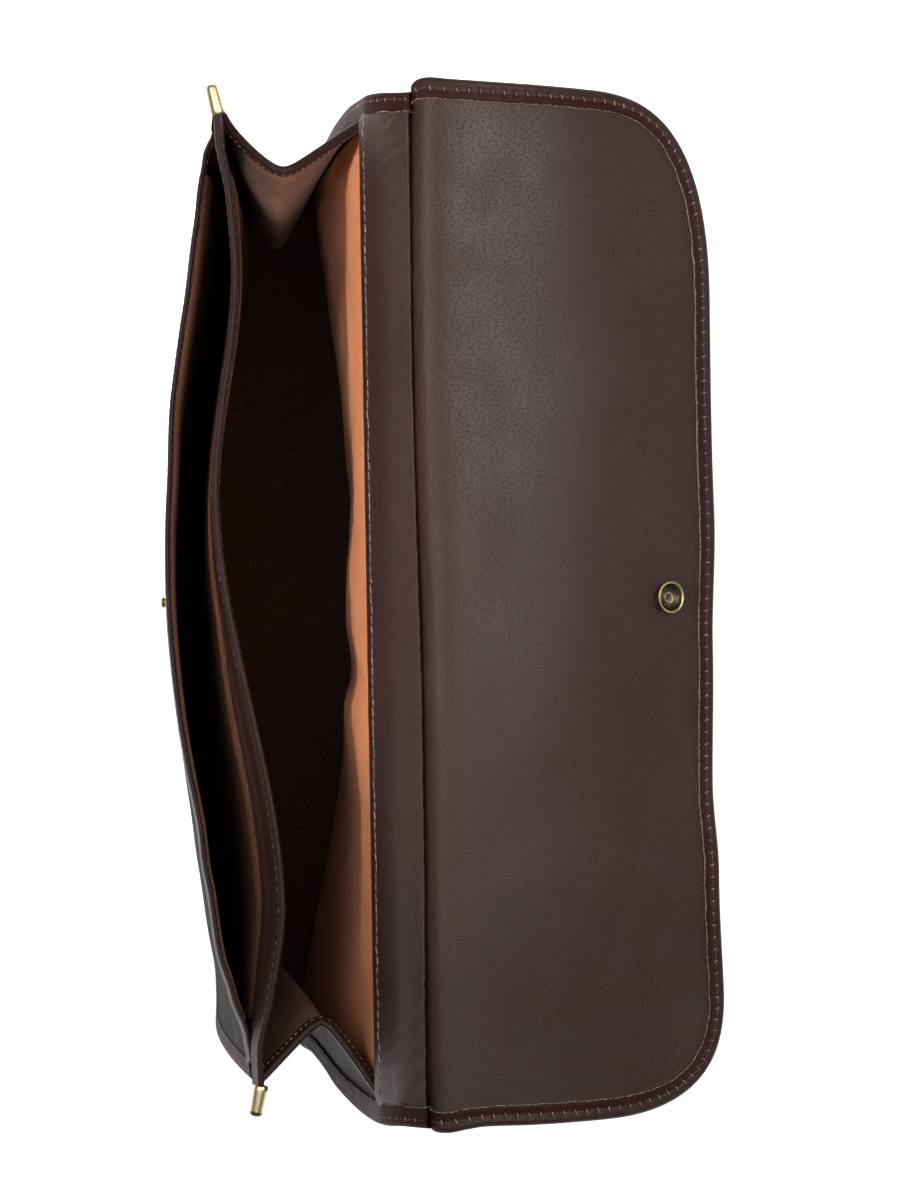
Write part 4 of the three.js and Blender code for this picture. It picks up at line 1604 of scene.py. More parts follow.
@dataclass(frozen=True)
class Stitch:
    """One stitch: its size, sink, slant in degrees, spread of place and slant, and its ends' shape."""

    length: float
    thick: float
    sink: float = 0.1
    slant: float = 0.0
    wander: float = 0.06
    swing: float = 4.0
    blunt: float = 0.8
    dive: float = 0.35
    seed: int = 1

    def shape(self) -> tuple[Array, Array]:
        """Model the stitch once, lying along X and diving at its ends.

        Returns:
            Its points in metres and its faces.
        """
        Bench.clear()
        bpy.ops.mesh.primitive_uv_sphere_add(segments=8, ring_count=6, radius=0.5)
        model = bpy.context.object
        bpy.ops.object.mode_set(mode="EDIT")
        bpy.ops.mesh.select_all(action="SELECT")
        bpy.ops.mesh.quads_convert_to_tris()
        bpy.ops.object.mode_set(mode="OBJECT")
        x, y, z = np.array([vertex.co[:] for vertex in model.data.vertices]).T
        faces = np.array([face.vertices[:] for face in model.data.polygons])
        bpy.data.objects.remove(model)
        ends = np.sign(z) * np.abs(2 * z) ** self.blunt / 2
        drop = self.dive * self.thick * np.abs(2 * ends) ** 4
        return np.stack([ends * self.length, y * self.thick, x * self.thick - drop], axis=1) * MM, faces

    def sew(self, name: str, places: Places, turned: bool = False) -> Object:
        """Copy the stitch to its places as one mesh.

        Args:
            name: Name of the piece.
            places: Points, directions along and normals.
            turned: Whether the stitch lies across the seam.

        Returns:
            The row of stitches.
        """
        points, faces = self.shape()
        origins, along, up = places
        draw = np.random.default_rng(self.seed)
        count = len(origins)
        swing = np.radians(self.slant + draw.normal(0.0, self.swing, count))[:, None]
        side = unit(np.cross(up, along))
        ahead = along * np.cos(swing) + side * np.sin(swing)
        if turned:
            ahead = np.cross(up, ahead)
        ahead = unit(ahead)
        shift = draw.normal(0.0, self.wander * MM, count)[:, None]
        origins = origins + side * shift - up * (self.sink * MM)
        axes = np.stack([ahead, np.cross(up, ahead), up], axis=1)
        placed = origins[:, None, :] + points @ axes
        rows = faces[None] + (len(points) * np.arange(count))[:, None, None]
        mesh = bpy.data.meshes.new(name)
        mesh.from_pydata(placed.reshape(-1, 3).tolist(), [], rows.reshape(-1, faces.shape[1]).tolist())
        piece = bpy.data.objects.new(name, mesh)
        bpy.context.scene.collection.objects.link(piece)
        Bench.soften(piece, 80.0)
        return piece


@dataclass(frozen=True)
class SeamRow:
    """A row of stitches along a hem: its name, its inset and lift, and its tilt towards the edge."""

    name: str
    inset: float
    lift: float
    tilt: float = 0.0


@dataclass
class Assembly:
    """What every sub-assembly of the case holds, and the steps of making that they share."""

    walls: Walls
    finishes: Finishes
    paths: EdgePaths
    stitch: Stitch = Stitch(2.9, 0.5, sink=0.05)
    pitch: float = 3.7
    binding_stitch: Stitch = Stitch(4.4, 0.5)
    knot: Stitch = Stitch(2.0, 0.55, slant=15.0)
    binding_pitch: float = 5.3
    panel_columns: int = 110
    panel_spacing: float = 4.0
    lining_reach: float = 0.88
    press: float = 4.0

    @property
    def form(self) -> CaseForm:
        """The case's sizes."""
        return self.walls.form

    def panel(
        self, label: Label, wall: Wall, half: Measure, stops: Sequence[float], thickness: float
    ) -> None:
        """Cut and bend the leather of a wall with rounded lower corners.

        Args:
            label: What it is called and dressed in.
            wall: The wall.
            half: Half width by height.
            stops: Heights that its rows keep to.
            thickness: Its thickness.
        """
        radius = self.form.corner_radius
        corner = radius - (radius - self.form.edge) * np.cos(np.linspace(0.0, math.pi / 2, 12))
        rows = np.concatenate([corner[:-1], rows_between([radius, *stops], self.panel_spacing)])
        Sheet(label, wall, rows, self.panel_columns, half, 0.0, thickness).lay()

    def line_wall(
        self, label: Label, under: str, wall: Wall, rows: Array, columns: int, lift: float
    ) -> None:
        """Line one side of the front or the divider with cloth.

        Args:
            label: What the cloth is called and dressed in.
            under: Piece that it rests on, which is passed on but not used.
            wall: The wall.
            rows: Heights of its rows.
            columns: Number of points across.
            lift: Lift of its middle off the wall's middle surface.
        """
        form = self.form
        half = form.panel_half(form.front_half, form.edge)
        cloth = Sheet(label, wall, rows, columns, half, lift, form.cloth, self.lining_reach, self.press)
        cloth.stretch(under, 2 * self.lining_reach * (form.front_half - form.edge))

    def seam(self, label: Label, rail: Rail, stitch: Stitch, pitch: float) -> None:
        """Sew one row of stitches along a rail."""
        finished(stitch.sew(label.name, rail.spaced(pitch)), label)

    def hem_edge(self, hem: Strip, thread: Material, rows: Sequence[SeamRow]) -> None:
        """Fold a hem over an edge and sew it.

        Args:
            hem: The hem.
            thread: Finish of its thread.
            rows: Its rows of stitches.
        """
        hem.fold()
        for row in rows:
            rail = Rail.on(hem.wall, hem.path, row.inset, row.lift, row.tilt)
            self.seam(Label(row.name, hem.label.slot, thread), rail, self.stitch, self.pitch)

    def bind_edge(self, binding: Strip, rows: dict[str, float]) -> None:
        """Fold a binding over an edge, and sew it with long stitches and short cross stitches.

        Args:
            binding: The binding.
            rows: Lift of each row of stitches, by the ending of the row's name.
        """
        binding.fold()
        for ending, lift in rows.items():
            rail = Rail.on(binding.wall, binding.path, binding.pucker.inset, lift)
            name = f"{binding.label.node}{ending}"
            long = Label(f"{name}_stitches", Slot.TRIM, self.finishes.thread)
            self.seam(long, rail, self.binding_stitch, self.binding_pitch)
            short = Label(f"{name}_knots", Slot.TRIM, self.finishes.knot)
            finished(self.knot.sew(short.name, rail.spaced(self.binding_pitch, 1.0), turned=True), short)

    def turn(
        self, label: Label, profile: Table, origin: Array, axis: Array, angle: float = 40.0,
        cap: float = math.inf,
    ) -> None:
        """Turn a brass piece and set it in place.

        Args:
            label: What it is called and dressed in.
            profile: Rows of radius and height.
            origin: Point that it stands on.
            axis: Direction of its axis.
            angle: Angle in degrees above which an edge stays sharp.
            cap: Height above which it has its second finish.
        """
        piece = Bench.spun(label.name, profile)
        for face in piece.data.polygons:
            face.material_index = int(face.center.z > cap * MM)
        Bench.stand(piece, origin, axis)
        Bench.soften(piece, angle)
        finished(piece, label)


@dataclass
class FrontPocket(Assembly):
    """The front of the case: its outer leather, its lining, its hem, its bound seam and the snap's stud."""

    knot: Stitch = Stitch(1.9, 0.5, slant=15.0)
    inner_hem: float = 3.6
    open_rim: float = 6.5
    hem_reach: float = 0.985
    inner_binding: float = 4.0
    lining_columns: int = 96
    lining_spacing: float = 3.5
    stud_profile: Table = (
        (0, 0), (4.6, 0), (4.85, 0.25), (4.8, 0.7), (4.3, 1.15), (3.0, 1.4), (2.3, 1.7), (2.1, 2.3),
        (2.35, 2.9), (2.5, 3.3), (2.3, 3.8), (1.6, 4.1), (0, 4.2),
    )

    def build(self) -> None:
        """Cut, bend, line, hem, bind and sew the front."""
        form, wall = self.form, self.walls.front
        half = form.panel_half(form.front_half, form.edge)
        stops = [form.front_roll_start, form.front_rim - self.open_rim]
        leather = Label("front_leather", Slot.LEATHER, self.finishes.outside, "front_panel")
        self.panel(leather, wall, half, stops, form.front_leather)
        band = form.front_rim + form.edge - self.inner_hem - form.gap
        rows = rows_between([form.corner_radius, form.front_roll_start, band], self.lining_spacing)
        lift = -(form.front_leather / 2 + form.gap + form.cloth / 2)
        cloth = Label("front_cloth", Slot.CLOTH, self.finishes.copper, "front_lining")
        self.line_wall(cloth, leather.name, wall, rows, self.lining_columns, lift)
        self.hem()
        self.bind()
        seat = wall.seat(0.0, form.stud_height, form.front_leather / 2 + form.gap)
        stud = Label("snap_post", Slot.BRASS, self.finishes.old_brass, "snap_stud")
        self.turn(stud, self.stud_profile, *seat)

    def hem(self) -> None:
        """Fold and sew the hem along the rim."""
        form = self.form
        side = form.front_leather / 2 + form.gap + form.strip_leather / 2
        path = self.paths.rim(self.hem_reach * (form.front_half - form.edge), form.front_rim + form.edge)
        corners = (
            (form.hem_depth, side), (6.2, side - 0.2), (3.6, 0.9), (1.4, 0.65), (0.4, 0.4), (0.4, -0.2),
            (1.0, -0.6), (2.2, -0.8), (self.inner_hem, -1.0),
        )
        pucker = Pucker(2.2, self.pitch, 0.16, 0.8)
        rows = (
            SeamRow("front_rim_stitches_outside", pucker.inset, 1.0, 10.0),
            SeamRow("front_rim_stitches_inside", pucker.inset, -1.05, 35.0),
        )
        label = Label("front_rim", Slot.LEATHER, self.finishes.hem, "front_hem")
        hem = Strip(label, self.walls.front, path, RolledSection(corners, form.strip_leather), pucker)
        self.hem_edge(hem, self.finishes.pale_thread, rows)

    def bind(self) -> None:
        """Bind and sew the sides and the foot, over the divider and the folding ends."""
        form = self.form
        on_front = form.front_leather / 2 + form.gap
        stack = on_front + form.divider_leather + form.gap + form.gusset_leather + form.gap + form.slack
        path = self.paths.panel(form.front_half, form.front_rim)
        section = FoldSection(
            -stack, on_front, form.binding_width, self.inner_binding, form.strip_leather, 2.2
        )
        label = Label("front_edge_binding", Slot.TRIM, self.finishes.dull_strip, "front_binding")
        binding = Strip(label, self.walls.front, path, section, Pucker(3.5, self.binding_pitch), 0.2)
        self.bind_edge(binding, {"": on_front + form.strip_leather - form.thread_sink})


@dataclass(frozen=True)
class BrassTip:
    """A brass tip: its end of the rim, its slope to the back, the start of the painted shade on its rounded
    end, and its slide along.
    """

    end: End
    slope: float
    cap: float
    slide: float


@dataclass
class Divider(Assembly):
    """The wall between pocket and main compartment, with its rolled rim and brass tips."""

    stitch: Stitch = Stitch(3.0, 0.5, sink=0.05)
    pitch: float = 4.6
    tips: tuple[BrassTip, ...] = (
        BrassTip(End.LEFT, -0.22, 11.65, -2.4),
        BrassTip(End.RIGHT, -0.20, 9.9, 0.0),
    )
    tip_reach: float = 3.3
    tip_profile: Table = (
        (0, -1.6), (3.0, -1.6), (3.2, -1.35), (3.2, 0.5), (3.15, 2.0), (3.0, 6.0), (2.85, 9.7), (2.8, 10.2),
        (2.7, 10.6), (2.5, 11.0), (2.2, 11.35), (1.75, 11.62), (1.15, 11.75), (0, 11.8),
    )
    lining_drop: float = 8.0

    def build(self) -> None:
        """Cut, bend, line and hem the divider, and set its tips."""
        form, wall = self.form, self.walls.divider
        half = form.panel_half(form.front_half, form.edge)
        band = form.divider_rim - form.hem_depth - form.gap
        stops = [form.pocket_band, band]
        leather = Label("divider_leather", Slot.LEATHER, self.finishes.leather, "divider")
        self.panel(leather, wall, half, stops, form.divider_leather)
        lift = form.divider_leather / 2 + form.gap + form.cloth / 2
        for name, node, top, side, material in (
            ("pocket_cloth", "divider_pocket_lining", form.pocket_band, lift, self.finishes.pocket),
            # The divider's main-compartment side is lined with the painted-shade copy of the tan cloth.
            ("divider_cloth", "divider_lining", band - self.lining_drop, -lift, self.finishes.painted_shade_cloth),
        ):
            rows = rows_between([form.corner_radius, top], self.panel_spacing)
            cloth = Label(name, Slot.CLOTH, material, node)
            self.line_wall(cloth, leather.name, wall, rows, self.panel_columns, side)
        self.hem()
        for tip in self.tips:
            self.cap_end(tip)

    def hem(self) -> None:
        """Roll and sew the rim, with a row of stitches on each side."""
        form = self.form
        side = form.divider_leather / 2 + form.gap + form.strip_leather / 2
        path = self.paths.rim(form.front_half - form.edge, form.divider_rim)
        depth = form.hem_depth + 1
        corners = (
            (depth, side), (6.4, side - 0.2), (4.4, 1.2), (2.8, 1.25), (1.2, 1.0), (0.4, 0.5),
            (0.4, -0.5), (1.2, -1.0), (2.8, -1.35), (4.4, -1.3), (6.4, 0.2 - side), (depth, -side),
        )
        rows = (
            SeamRow("divider_stitches_front", 2.7, 1.5, 20.0),
            SeamRow("divider_stitches_back", 2.7, -1.6, 20.0),
        )
        label = Label("divider_rim", Slot.LEATHER, self.finishes.hem, "divider_hem")
        section = RolledSection(corners, form.strip_leather, 36)
        hem = Strip(label, self.walls.divider, path, section, Pucker(2.8, self.pitch, 0.16, 0.8))
        self.hem_edge(hem, self.finishes.pale_thread, rows)

    def cap_end(self, tip: BrassTip) -> None:
        """Set a brass ferrule on an end of the rolled rim, with painted shade on its rounded end.

        Args:
            tip: The tip.
        """
        form = self.form
        height = form.divider_rim - form.hem_depth / 2 + form.strip_leather
        reach = form.front_half - form.strip_leather + self.tip_reach * abs(tip.slope) + tip.slide
        origin, _ = self.walls.divider.seat(tip.end.value * reach, height, 0.0)
        axis = unit(np.array([tip.end.value, tip.slope, 0.0]))
        side = tip.end.name.lower()
        # The tip's end above its cap height takes the dark brass, painted shade.
        bright, dark = self.finishes.brass, self.finishes.shaded_brass
        label = Label(f"brass_tip_{side}", Slot.BRASS, bright, f"tip_{side}", dark)
        self.turn(label, self.tip_profile, origin, axis, cap=tip.cap)


@dataclass
class FoldingEnds(Assembly):
    """The two folding ends with their bound top edges, and the base between them."""

    stitch: Stitch = Stitch(1.5, 0.42, sink=0.02, slant=10.0, wander=0.1)
    pitch: float = 2.9
    overlap: float = 1.5
    tuck: float = 5.0
    tuck_start: float = 150.0
    tuck_rise: float = 100.0
    span: float = 80.0
    base_half: float = 180.0
    seam_inset: float = 3.0
    flange_points: int = 5
    span_points: int = 61
    flange_steep: float = 3.0
    hem_span: tuple[float, float] = (-0.02, 1.02)
    hem_points: int = 110
    base_points: tuple[int, int] = (31, 70)

    def build(self) -> None:
        """Build both ends and the base."""
        for end in End:
            self.gusset(end)
            self.bind(end)
        self.base()

    def dress(self, piece: Object, label: Label) -> None:
        """Give a sheet its thickness, with a finish on each of its faces.

        Args:
            piece: The bent sheet.
            label: What it is called, and the finishes of its lower and upper face.
        """
        for material in (label.material, label.other):
            piece.data.materials.append(material)
        Bench.modify(
            piece, "SOLIDIFY", thickness=self.form.gusset_leather * MM, offset=0.0, use_quality_normals=True,
            material_offset=1, material_offset_rim=1,
        )
        Bench.soften(piece)
        finished(piece, label)

    def gusset(self, end: End) -> None:
        """Bend one end from its pattern.

        Args:
            end: The end.
        """
        form, wall = self.form, self.walls.gussets[end]
        name = end.name.lower()
        shares = np.concatenate([
            np.linspace(-1.0, 0.0, self.flange_points)[:-1],
            np.linspace(0.0, 1.0, self.span_points),
            np.linspace(1.0, 2.0, self.flange_points)[1:],
        ])
        rises = rows_between([-self.overlap, form.corner_arc, form.gusset_rise], self.panel_spacing)
        piece, column, row = Bench.grid(f"gusset_{name}_leather", len(shares), len(rises))
        share = shares[column]
        flange = np.minimum(1.0, self.flange_steep * np.maximum(0.0, np.maximum(-share, share - 1.0)))
        rise = rises[row] - self.tuck * flange * smooth((rises[row] - self.tuck_start) / self.tuck_rise)
        points = (wall.surface(share, rise) + wall.origin) * MM
        Bench.bend(piece, points, np.stack([share * self.span, rise], axis=1))
        faces = [self.finishes.outside, self.finishes.suede][::end.value]
        self.dress(piece, Label(piece.name, Slot.SUEDE, faces[0], f"gusset_{name}", faces[1]))

    def bind(self, end: End) -> None:
        """Fold and sew the binding on an end's top edge.

        Args:
            end: The end.
        """
        form, wall = self.form, self.walls.gussets[end]
        name = end.name.lower()
        share = np.linspace(*self.hem_span, self.hem_points)
        top = form.gusset_rise + form.edge
        zero = np.zeros_like(share)
        edge = wall.place(share, zero + top, zero) / MM
        steps = np.linalg.norm(np.diff(edge, axis=0), axis=1)
        path = EdgePath(share, zero + top, zero, zero - 1.0, run_along(steps))
        side = form.gusset_leather / 2 + form.gap + form.strip_leather / 2
        depth = form.gusset_hem_depth
        inner = (
            (depth, side + 0.9), (4.0, side + 1.0), (3.0, side + 0.8), (2.1, side + 0.1), (1.5, side + 0.15),
            (0.7, side - 0.3), (0.4, 0.1),
        )
        outer = ((0.4, -0.5), (1.0, -side), (2.6, -side), (depth, -side))
        inward = -end.value
        corners = tuple((inset, inward * lift) for inset, lift in inner + outer)
        rows = (
            SeamRow(f"gusset_{name}_stitches_inside", self.seam_inset, inward * (side + 1.1), 30.0),
            SeamRow(f"gusset_{name}_stitches_outside", self.seam_inset, inward * (-side - 0.35)),
        )
        label = Label(f"gusset_{name}_edge", Slot.TRIM, self.finishes.hem, f"gusset_hem_{name}")
        pucker = Pucker(self.seam_inset, self.pitch, 0.12, 0.7)
        hem = Strip(label, wall, path, RolledSection(corners, form.strip_leather), pucker)
        self.hem_edge(hem, self.finishes.bright_thread, rows)

    def base(self) -> None:
        """Bend the base from its pattern."""
        wall = self.walls.base
        shares = np.linspace(-1.0, 2.0, self.base_points[0])
        along = np.linspace(-1.0, 1.0, self.base_points[1])
        piece, column, row = Bench.grid("base_leather", len(shares), len(along))
        points = (wall.surface(shares[column], along[row]) + wall.origin) * MM
        Bench.bend(piece, points, np.stack([shares[column] * self.span, along[row] * self.base_half], axis=1))
        # The base's inside is the dark painted-shade suede.
        outside, inside = self.finishes.outside, self.finishes.painted_shade_base
        self.dress(piece, Label(piece.name, Slot.SUEDE, outside, "base", inside))


@dataclass
class BackWall(Assembly):
    """The back of the case: its outer leather, its cloth, the leather band inside its rim and its binding."""

    band_stitch: Stitch = Stitch(4.2, 0.64, sink=-0.08, slant=8.0, wander=0.25)
    band_pitch: float = 4.4
    band_rise: float = 4.5
    band_side: float = 9.5
    band_tilt: float = 0.4
    panel_spacing: float = 4.5
    open_rim: float = 2.0
    rim_roll: float = 0.3
    creases: Ripple = Ripple(0.32, 4.5, 21, 9)
    cloth_ripple: Ripple = Ripple(0.45, 34.0, 12)
    cloth_side: float = 14.0
    cloth_fade: float = 25.0
    cloth_tuck: float = 1.5
    cloth_columns: int = 200
    cloth_spacing: float = 3.5
    cloth_swell: float = 0.5
    cloth_stretch: float = 0.35
    band_columns: int = 270
    band_spacing: float = 0.9
    band_edge: float = 0.6
    band_turn: float = 4.0
    band_points: int = 400
    crease_start: float = 8.0
    crease_ease: float = 20.0
    crease_slant: float = 0.4
    crease_stretch: float = 0.2
    rim_roll_start: float = 3.6
    rim_roll_ease: float = 3.0
    binding_rise: float = 0.6

    def build(self) -> None:
        """Cut, bend, line, face, bind and sew the back."""
        form, wall = self.form, self.walls.back
        half = form.panel_half(form.back_half, form.edge)
        stops = [form.flare_start, form.back_rim - self.open_rim]
        leather = Label("back_leather", Slot.LEATHER, self.finishes.outside, "back_panel")
        self.panel(leather, wall, half, stops, form.back_leather)
        self.line()
        self.face(half)
        self.bind()

    def line(self) -> None:
        """Line the back with cloth that hangs in loose folds."""
        form = self.form
        foot, top = form.corner_radius, form.flare_start + self.cloth_tuck
        reach = form.back_half - form.lining_inset

        def loose(across: Array, climb: Array) -> Array:
            """Lift the cloth off the wall, but not at its sides.

            Args:
                across: Places along the case.
                climb: Heights on the flat pattern.

            Returns:
                The lift at each place.
            """
            side = smooth((reach - np.abs(across)) / self.cloth_side)
            fade = np.clip((top - climb) / self.cloth_fade, 0.0, 1.0)
            fade = fade * np.clip((climb - foot) / self.cloth_fade, 0.0, 1.0)
            ripple = self.cloth_ripple.at(across, climb * self.cloth_stretch)
            waves = fade * np.maximum(0.0, self.cloth_swell + ripple)
            return side * (form.lining_fold(across, climb) + waves)

        half = form.panel_half(form.back_half, form.lining_inset)
        lift = form.back_leather / 2 + form.gap + form.cloth / 2
        label = Label("back_cloth", Slot.CLOTH, self.finishes.cloth, "back_lining")
        rows = rows_between([foot, top], self.cloth_spacing)
        cloth = Sheet(label, self.walls.back, rows, self.cloth_columns, half, lift, form.cloth, proud=loose)
        cloth.stretch("back_leather", 2 * reach)

    def face(self, half: Measure) -> None:
        """Lay and sew the leather band inside the rim.

        Args:
            half: Half width of the back.
        """
        form, wall = self.form, self.walls.back
        lift = form.back_leather / 2 + form.gap + form.facing_leather / 2
        rim = form.back_rim
        rows = rows_between([form.flare_start, rim - self.band_turn, rim - self.band_edge], self.band_spacing)

        def shaped(across: Array, climb: Array) -> Array:
            """Stand the band off the wall below, crease it finely, and roll it over the rim."""
            share = smooth((climb - form.flare_start - self.crease_start) / self.crease_ease)
            over = self.rim_roll * smooth((climb - rim + self.rim_roll_start) / self.rim_roll_ease)
            fine = share * self.creases.at(across + self.crease_slant * climb, climb * self.crease_stretch)
            return form.band_stand(across, climb) + fine + over

        label = Label("back_band", Slot.LEATHER, self.finishes.facing, "back_facing")
        band = Sheet(label, wall, rows, self.band_columns, half, lift, form.facing_leather, proud=shaped)
        band.lay()
        end = form.back_half - self.band_side
        across = np.linspace(-end, end, self.band_points)
        climb = np.full_like(across, form.flare_start + self.band_rise)
        height = lift + form.facing_leather / 2 + form.band_stand(across, climb)
        upward = np.array([0.0, 0.0, math.sin(self.band_tilt)])
        normals = unit(wall.normals(across, climb) * math.cos(self.band_tilt) + upward)
        rail = Rail(wall.place(across, climb, height), normals, (across + end) * MM)
        label = Label("back_band_stitches", Slot.LEATHER, self.finishes.bright_thread)
        self.seam(label, rail, self.band_stitch, self.band_pitch)

    def bind(self) -> None:
        """Bind and sew the sides and the foot."""
        form = self.form
        on_back = form.back_leather / 2 + form.gap
        high = on_back + form.facing_leather + form.gap + form.slack
        low = -on_back - form.slack
        path = self.paths.panel(form.back_half, form.back_rim + self.binding_rise)
        section = FoldSection(low, high, form.binding_width, form.binding_width, form.strip_leather, 1.9)
        proud = form.strip_leather - form.thread_sink
        label = Label("back_edge_binding", Slot.TRIM, self.finishes.dull_strip, "back_binding")
        binding = Strip(label, self.walls.back, path, section, Pucker(3.3, self.binding_pitch, 0.12), 0.25)
        self.bind_edge(binding, {"_inside": high + proud, "_outside": low - proud})


@dataclass
class Flap(Assembly):
    """The flap laid back: its two leathers, its bound and sewn edge, and the snap."""

    binding_stitch: Stitch = Stitch(4.6, 0.42, sink=0.24)
    knot: Stitch = Stitch(2.2, 0.55, sink=0.3, slant=18.0)
    dot: Stitch = Stitch(1.7, 0.4, sink=0.05)
    dot_pitch: float = 2.7
    dot_inset: float = 0.9
    strip_stitch: Stitch = Stitch(3.4, 0.55)
    strip_pitch: float = 4.0
    strip_rows: tuple[tuple[str, float], ...] = (("low", 3.5), ("high", 12.0))
    wing: float = 9.0
    binding_width: float = 9.1
    wing_start: float = 16.0
    wing_ease: float = 8.0
    corner_rows: int = 26
    strip_spacing: float = 3.5
    strip_end: float = 4.0
    bend_stops: tuple[float, ...] = (0.4, 1.4, 30.0)
    bend_spacing: float = 1.6
    dot_lift: float = 0.05
    snap_angle: float = 45.0
    ring: Table = (
        (5.3, 0.15), (5.9, 1.0), (6.6, 1.9), (7.0, 2.4), (7.1, 2.75), (6.95, 3.1), (6.6, 3.2), (6.2, 3.05),
        (6.0, 2.7), (6.1, 2.1), (5.7, 1.05), (5.1, 0.15), (5.3, 0.15),
    )
    cup: Table = (
        (0, 0.2), (3.4, 0.25), (3.8, 0.5), (4.0, 1.1), (4.3, 1.3), (4.6, 1.1), (4.9, 0.6), (5.3, 1.0),
        (5.7, 1.7), (6.0, 2.5), (6.0, 1.9), (5.6, 1.0), (5.0, 0.1), (0, 0.05),
    )
    tube: Table = ((1.7, 0.2), (1.75, 1.1), (1.9, 1.3), (2.15, 1.3), (2.3, 1.1), (2.35, 0.2), (1.7, 0.2))
    cap: Table = ((0, 0), (6.9, 0), (7.4, 0.35), (7.35, 0.9), (6.4, 1.75), (4.6, 2.35), (2.4, 2.7), (0, 2.8))

    def build(self) -> None:
        """Cut, bend, bind and sew the flap, and set its snap."""
        form, wall = self.form, self.walls.flap
        inner = form.gap / 2 + form.flap_inner / 2
        outer = -(form.gap / 2 + form.flap_outer / 2)
        width = form.flap_width(form.edge)

        def winged(run: Array, side: Array) -> Array:
            """Widen the outer leather just below the bend, behind the back's rim."""
            near = smooth((run + self.wing_start) / self.wing_ease) * (run <= form.hinge_start)
            return width(run, side) + self.wing * near

        for name, node, count, half, lift, thickness, material in (
            ("flap_inside", "flap_lining", 181, width, inner, form.flap_inner, self.finishes.leather),
            ("flap_leather", "flap_outer", 111, winged, outer, form.flap_outer, self.finishes.outside),
        ):
            label = Label(name, Slot.LEATHER, material, node)
            Sheet(label, wall, self.rows(), count, half, lift, thickness).lay()
        self.bind()
        self.sew_strip()
        self.snap()

    def rows(self) -> Array:
        """Space the rows of the flap's leathers: the strip, the bend, and the free part with its corners."""
        form = self.form
        corner = form.corner_left.run
        turn = np.linspace(0.0, math.pi / 2, self.corner_rows)
        free = form.flap_run - corner + (corner - form.edge) * np.sin(turn)
        strip = rows_between([form.strip_top - form.back_rim, -form.flare_length, 0.0], self.strip_spacing)
        bend = rows_between([*self.bend_stops, free[0]], self.bend_spacing)
        return np.concatenate([strip[:-1], bend, free[1:]])

    def bind(self) -> None:
        """Bind and sew the flap's edge, and sew the row of dots beside the binding."""
        form, wall = self.form, self.walls.flap
        high = form.gap / 2 + form.flap_inner + form.gap
        low = -form.gap / 2 - form.flap_outer - form.gap
        path = self.paths.flap()
        section = FoldSection(low, high, self.binding_width, form.binding_width, form.strip_leather, 1.8)
        label = Label("flap_edge_binding", Slot.TRIM, self.finishes.strip, "flap_binding")
        binding = Strip(label, wall, path, section, Pucker(4.8, self.binding_pitch, 0.8, 1.4, 1.0), 0.19)
        proud = form.strip_leather
        self.bind_edge(binding, {"_inside": high + proud, "_outside": low - proud})
        rail = Rail.on(wall, path, self.binding_width + self.dot_inset, high - form.gap + self.dot_lift)
        self.seam(Label("flap_edge_dots", Slot.TRIM, self.finishes.thread), rail, self.dot, self.dot_pitch)

    def sew_strip(self) -> None:
        """Sew the flap's strip to the back with two rows."""
        form = self.form
        for name, rise in self.strip_rows:
            path = self.paths.rim(form.strip_half - self.strip_end, form.strip_top - form.back_rim + rise)
            rail = Rail.on(self.walls.flap, path, 0.0, -(form.gap / 2 + form.flap_outer))
            label = Label(f"flap_strip_stitches_{name}", Slot.LEATHER, self.finishes.thread)
            self.seam(label, rail, self.strip_stitch, self.strip_pitch)

    def snap(self) -> None:
        """Turn the snap's socket and cap and set them on the flap."""
        form, wall = self.form, self.walls.flap
        seat = wall.seat(form.snap_across, form.snap_run, form.gap / 2 + form.flap_inner)
        for name, profile, material, node in (
            ("snap_ring", self.ring, self.finishes.old_brass, "snap_socket"),
            # The snap's cup is the dark brass, painted shade in its recess.
            ("snap_cup", self.cup, self.finishes.shaded_brass, None),
            ("snap_tube", self.tube, self.finishes.pale_brass, None),
        ):
            self.turn(Label(name, Slot.BRASS, material, node), profile, *seat, self.snap_angle)
        low = -(form.gap / 2 + form.flap_outer + form.gap)
        origin, normal = wall.seat(form.snap_across, form.snap_run, low)
        button = Label("snap_button", Slot.BRASS, self.finishes.old_brass, "snap_cap")
        self.turn(button, self.cap, origin, -normal)


@dataclass(frozen=True)
class SoftBox:
    """A square soft light, in metres, watts and degrees, and whether glossy finishes mirror it."""

    name: str
    place: tuple[float, float, float]
    size: float
    power: float
    aim: tuple[float, float, float] = (0.0, 0.0, 0.15)
    spread: float = 180.0
    mirrored: bool = True


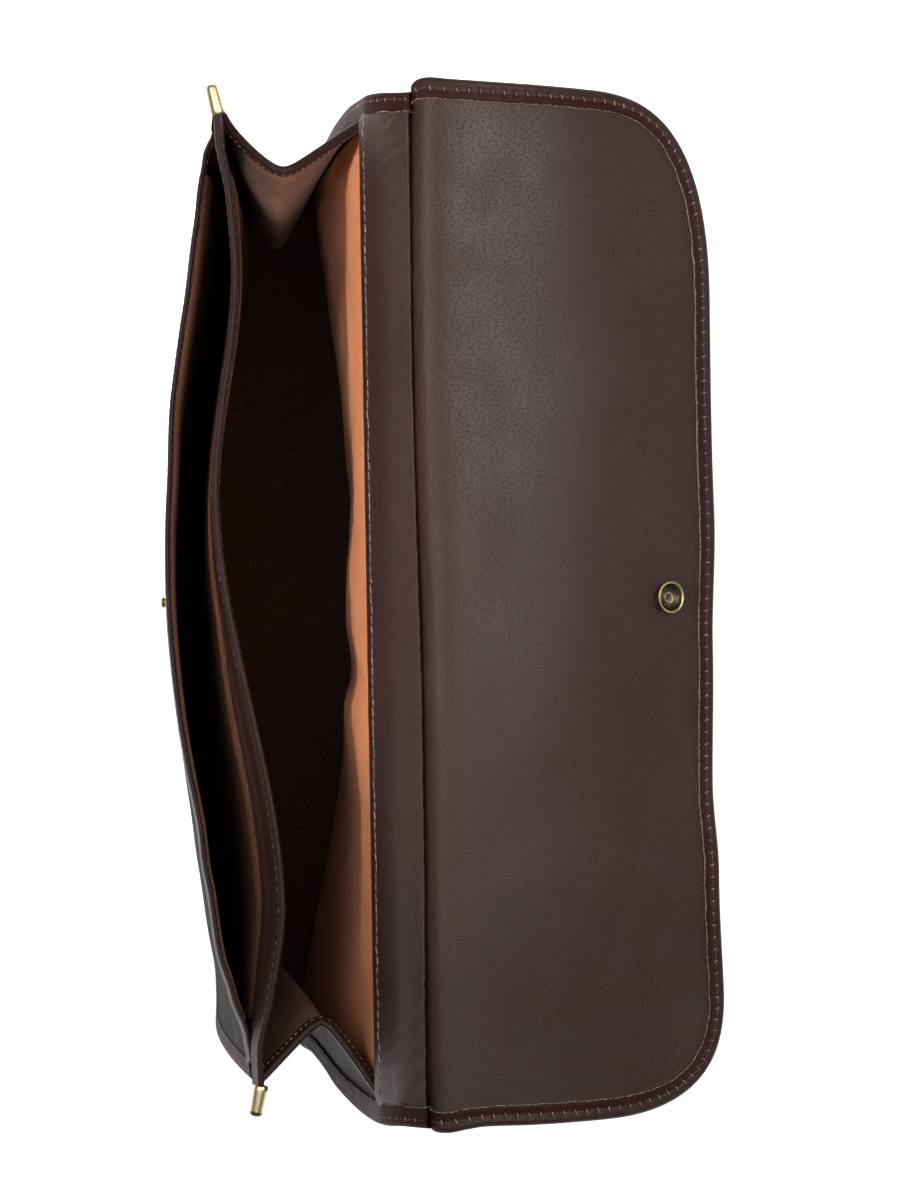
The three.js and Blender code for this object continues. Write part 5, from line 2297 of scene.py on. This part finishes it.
@dataclass
class Studio:
    """The pale floor, the soft lights, the even light all around, and the camera straight above."""

    camera_place: tuple[float, float, float] = (0.0001, 0.0078, 1.750)
    camera_turn: float = 89.05
    lens: float = 104.4
    boxes: tuple[SoftBox, ...] = (
        SoftBox("top_light", (-0.3, 0.35, 2.5), 2.4, 18.0),
        SoftBox("front_light", (-0.3, -1.75, 2.2), 0.62, 0.85, (-0.21, 0.0, 0.23), 5.0, False),
        SoftBox("front_fill", (-0.4, -0.9, 2.5), 1.2, 14.0),
        SoftBox("flap_light", (-0.65, 1.95, 2.35), 1.2, 27.0),
        SoftBox("end_light", (1.2, -0.1, 0.85), 0.2, 0.07, (-0.2, -0.075, 0.215), 6.0, False),
    )
    surround: float = 0.2

    def build(self) -> None:
        """Lay the floor, hang the lights and set the camera."""
        self.floor()
        for box in self.boxes:
            self.light(box)
        world = bpy.data.worlds.new("studio_surround")
        world.use_nodes = True
        world.node_tree.nodes["Background"].inputs["Color"].default_value = (1.0, 1.0, 1.0, 1.0)
        world.node_tree.nodes["Background"].inputs["Strength"].default_value = self.surround
        bpy.context.scene.world = world
        bpy.context.scene.view_settings.view_transform = "Standard"
        self.camera()

    def floor(self) -> None:
        """Lay the pale floor."""
        Bench.clear()
        bpy.ops.mesh.primitive_plane_add(size=8.0)
        floor = bpy.context.object
        floor.name = floor.data.name = "studio_floor"
        tree = Tree("pale_floor")
        tone = tree.span(tree.noise(tree.place(), 3.0), 0.3, 0.7)
        tree.surface(
            Base_Color=tree.mix(tone, (0.92, 0.92, 0.92, 1.0), (0.94, 0.94, 0.94, 1.0)), Roughness=0.7,
            Specular_IOR_Level=0.2, Emission_Color=(1.0, 1.0, 1.0, 1.0), Emission_Strength=0.72,
        )
        floor.data.materials.append(tree.material)

    def light(self, box: SoftBox) -> None:
        """Hang a soft light, turned to its aim.

        Args:
            box: The light.
        """
        data = bpy.data.lights.new(box.name, "AREA")
        data.shape = "SQUARE"
        data.size = box.size
        data.energy = box.power
        data.spread = math.radians(box.spread)
        lamp = bpy.data.objects.new(box.name, data)
        bpy.context.scene.collection.objects.link(lamp)
        lamp.location = box.place
        lamp.visible_glossy = box.mirrored
        away = Vector(box.place) - Vector(box.aim)
        lamp.rotation_euler = away.to_track_quat("Z", "Y").to_euler()

    def camera(self) -> None:
        """Set the camera straight above, with the case's length up the picture."""
        data = bpy.data.cameras.new("above")
        data.sensor_width = 36.0
        data.lens = self.lens
        camera = bpy.data.objects.new("above", data)
        camera.location = self.camera_place
        camera.rotation_euler = (0.0, 0.0, math.radians(self.camera_turn))
        bpy.context.scene.collection.objects.link(camera)
        bpy.context.scene.camera = camera


def main() -> None:
    """Build the case from its sub-assemblies and set it in the studio."""
    logging.basicConfig(level=logging.INFO, format="%(message)s")
    form = CaseForm()
    walls, finishes = Walls(form), Finishes()
    wide, close = EdgePaths(form, 1.7), EdgePaths(form, 1.15)
    for assembly in (FrontPocket, Divider, FoldingEnds, BackWall):
        assembly(walls, finishes, wide).build()
    Flap(walls, finishes, close).build()
    Studio().build()


if __name__ == "__main__":
    main()
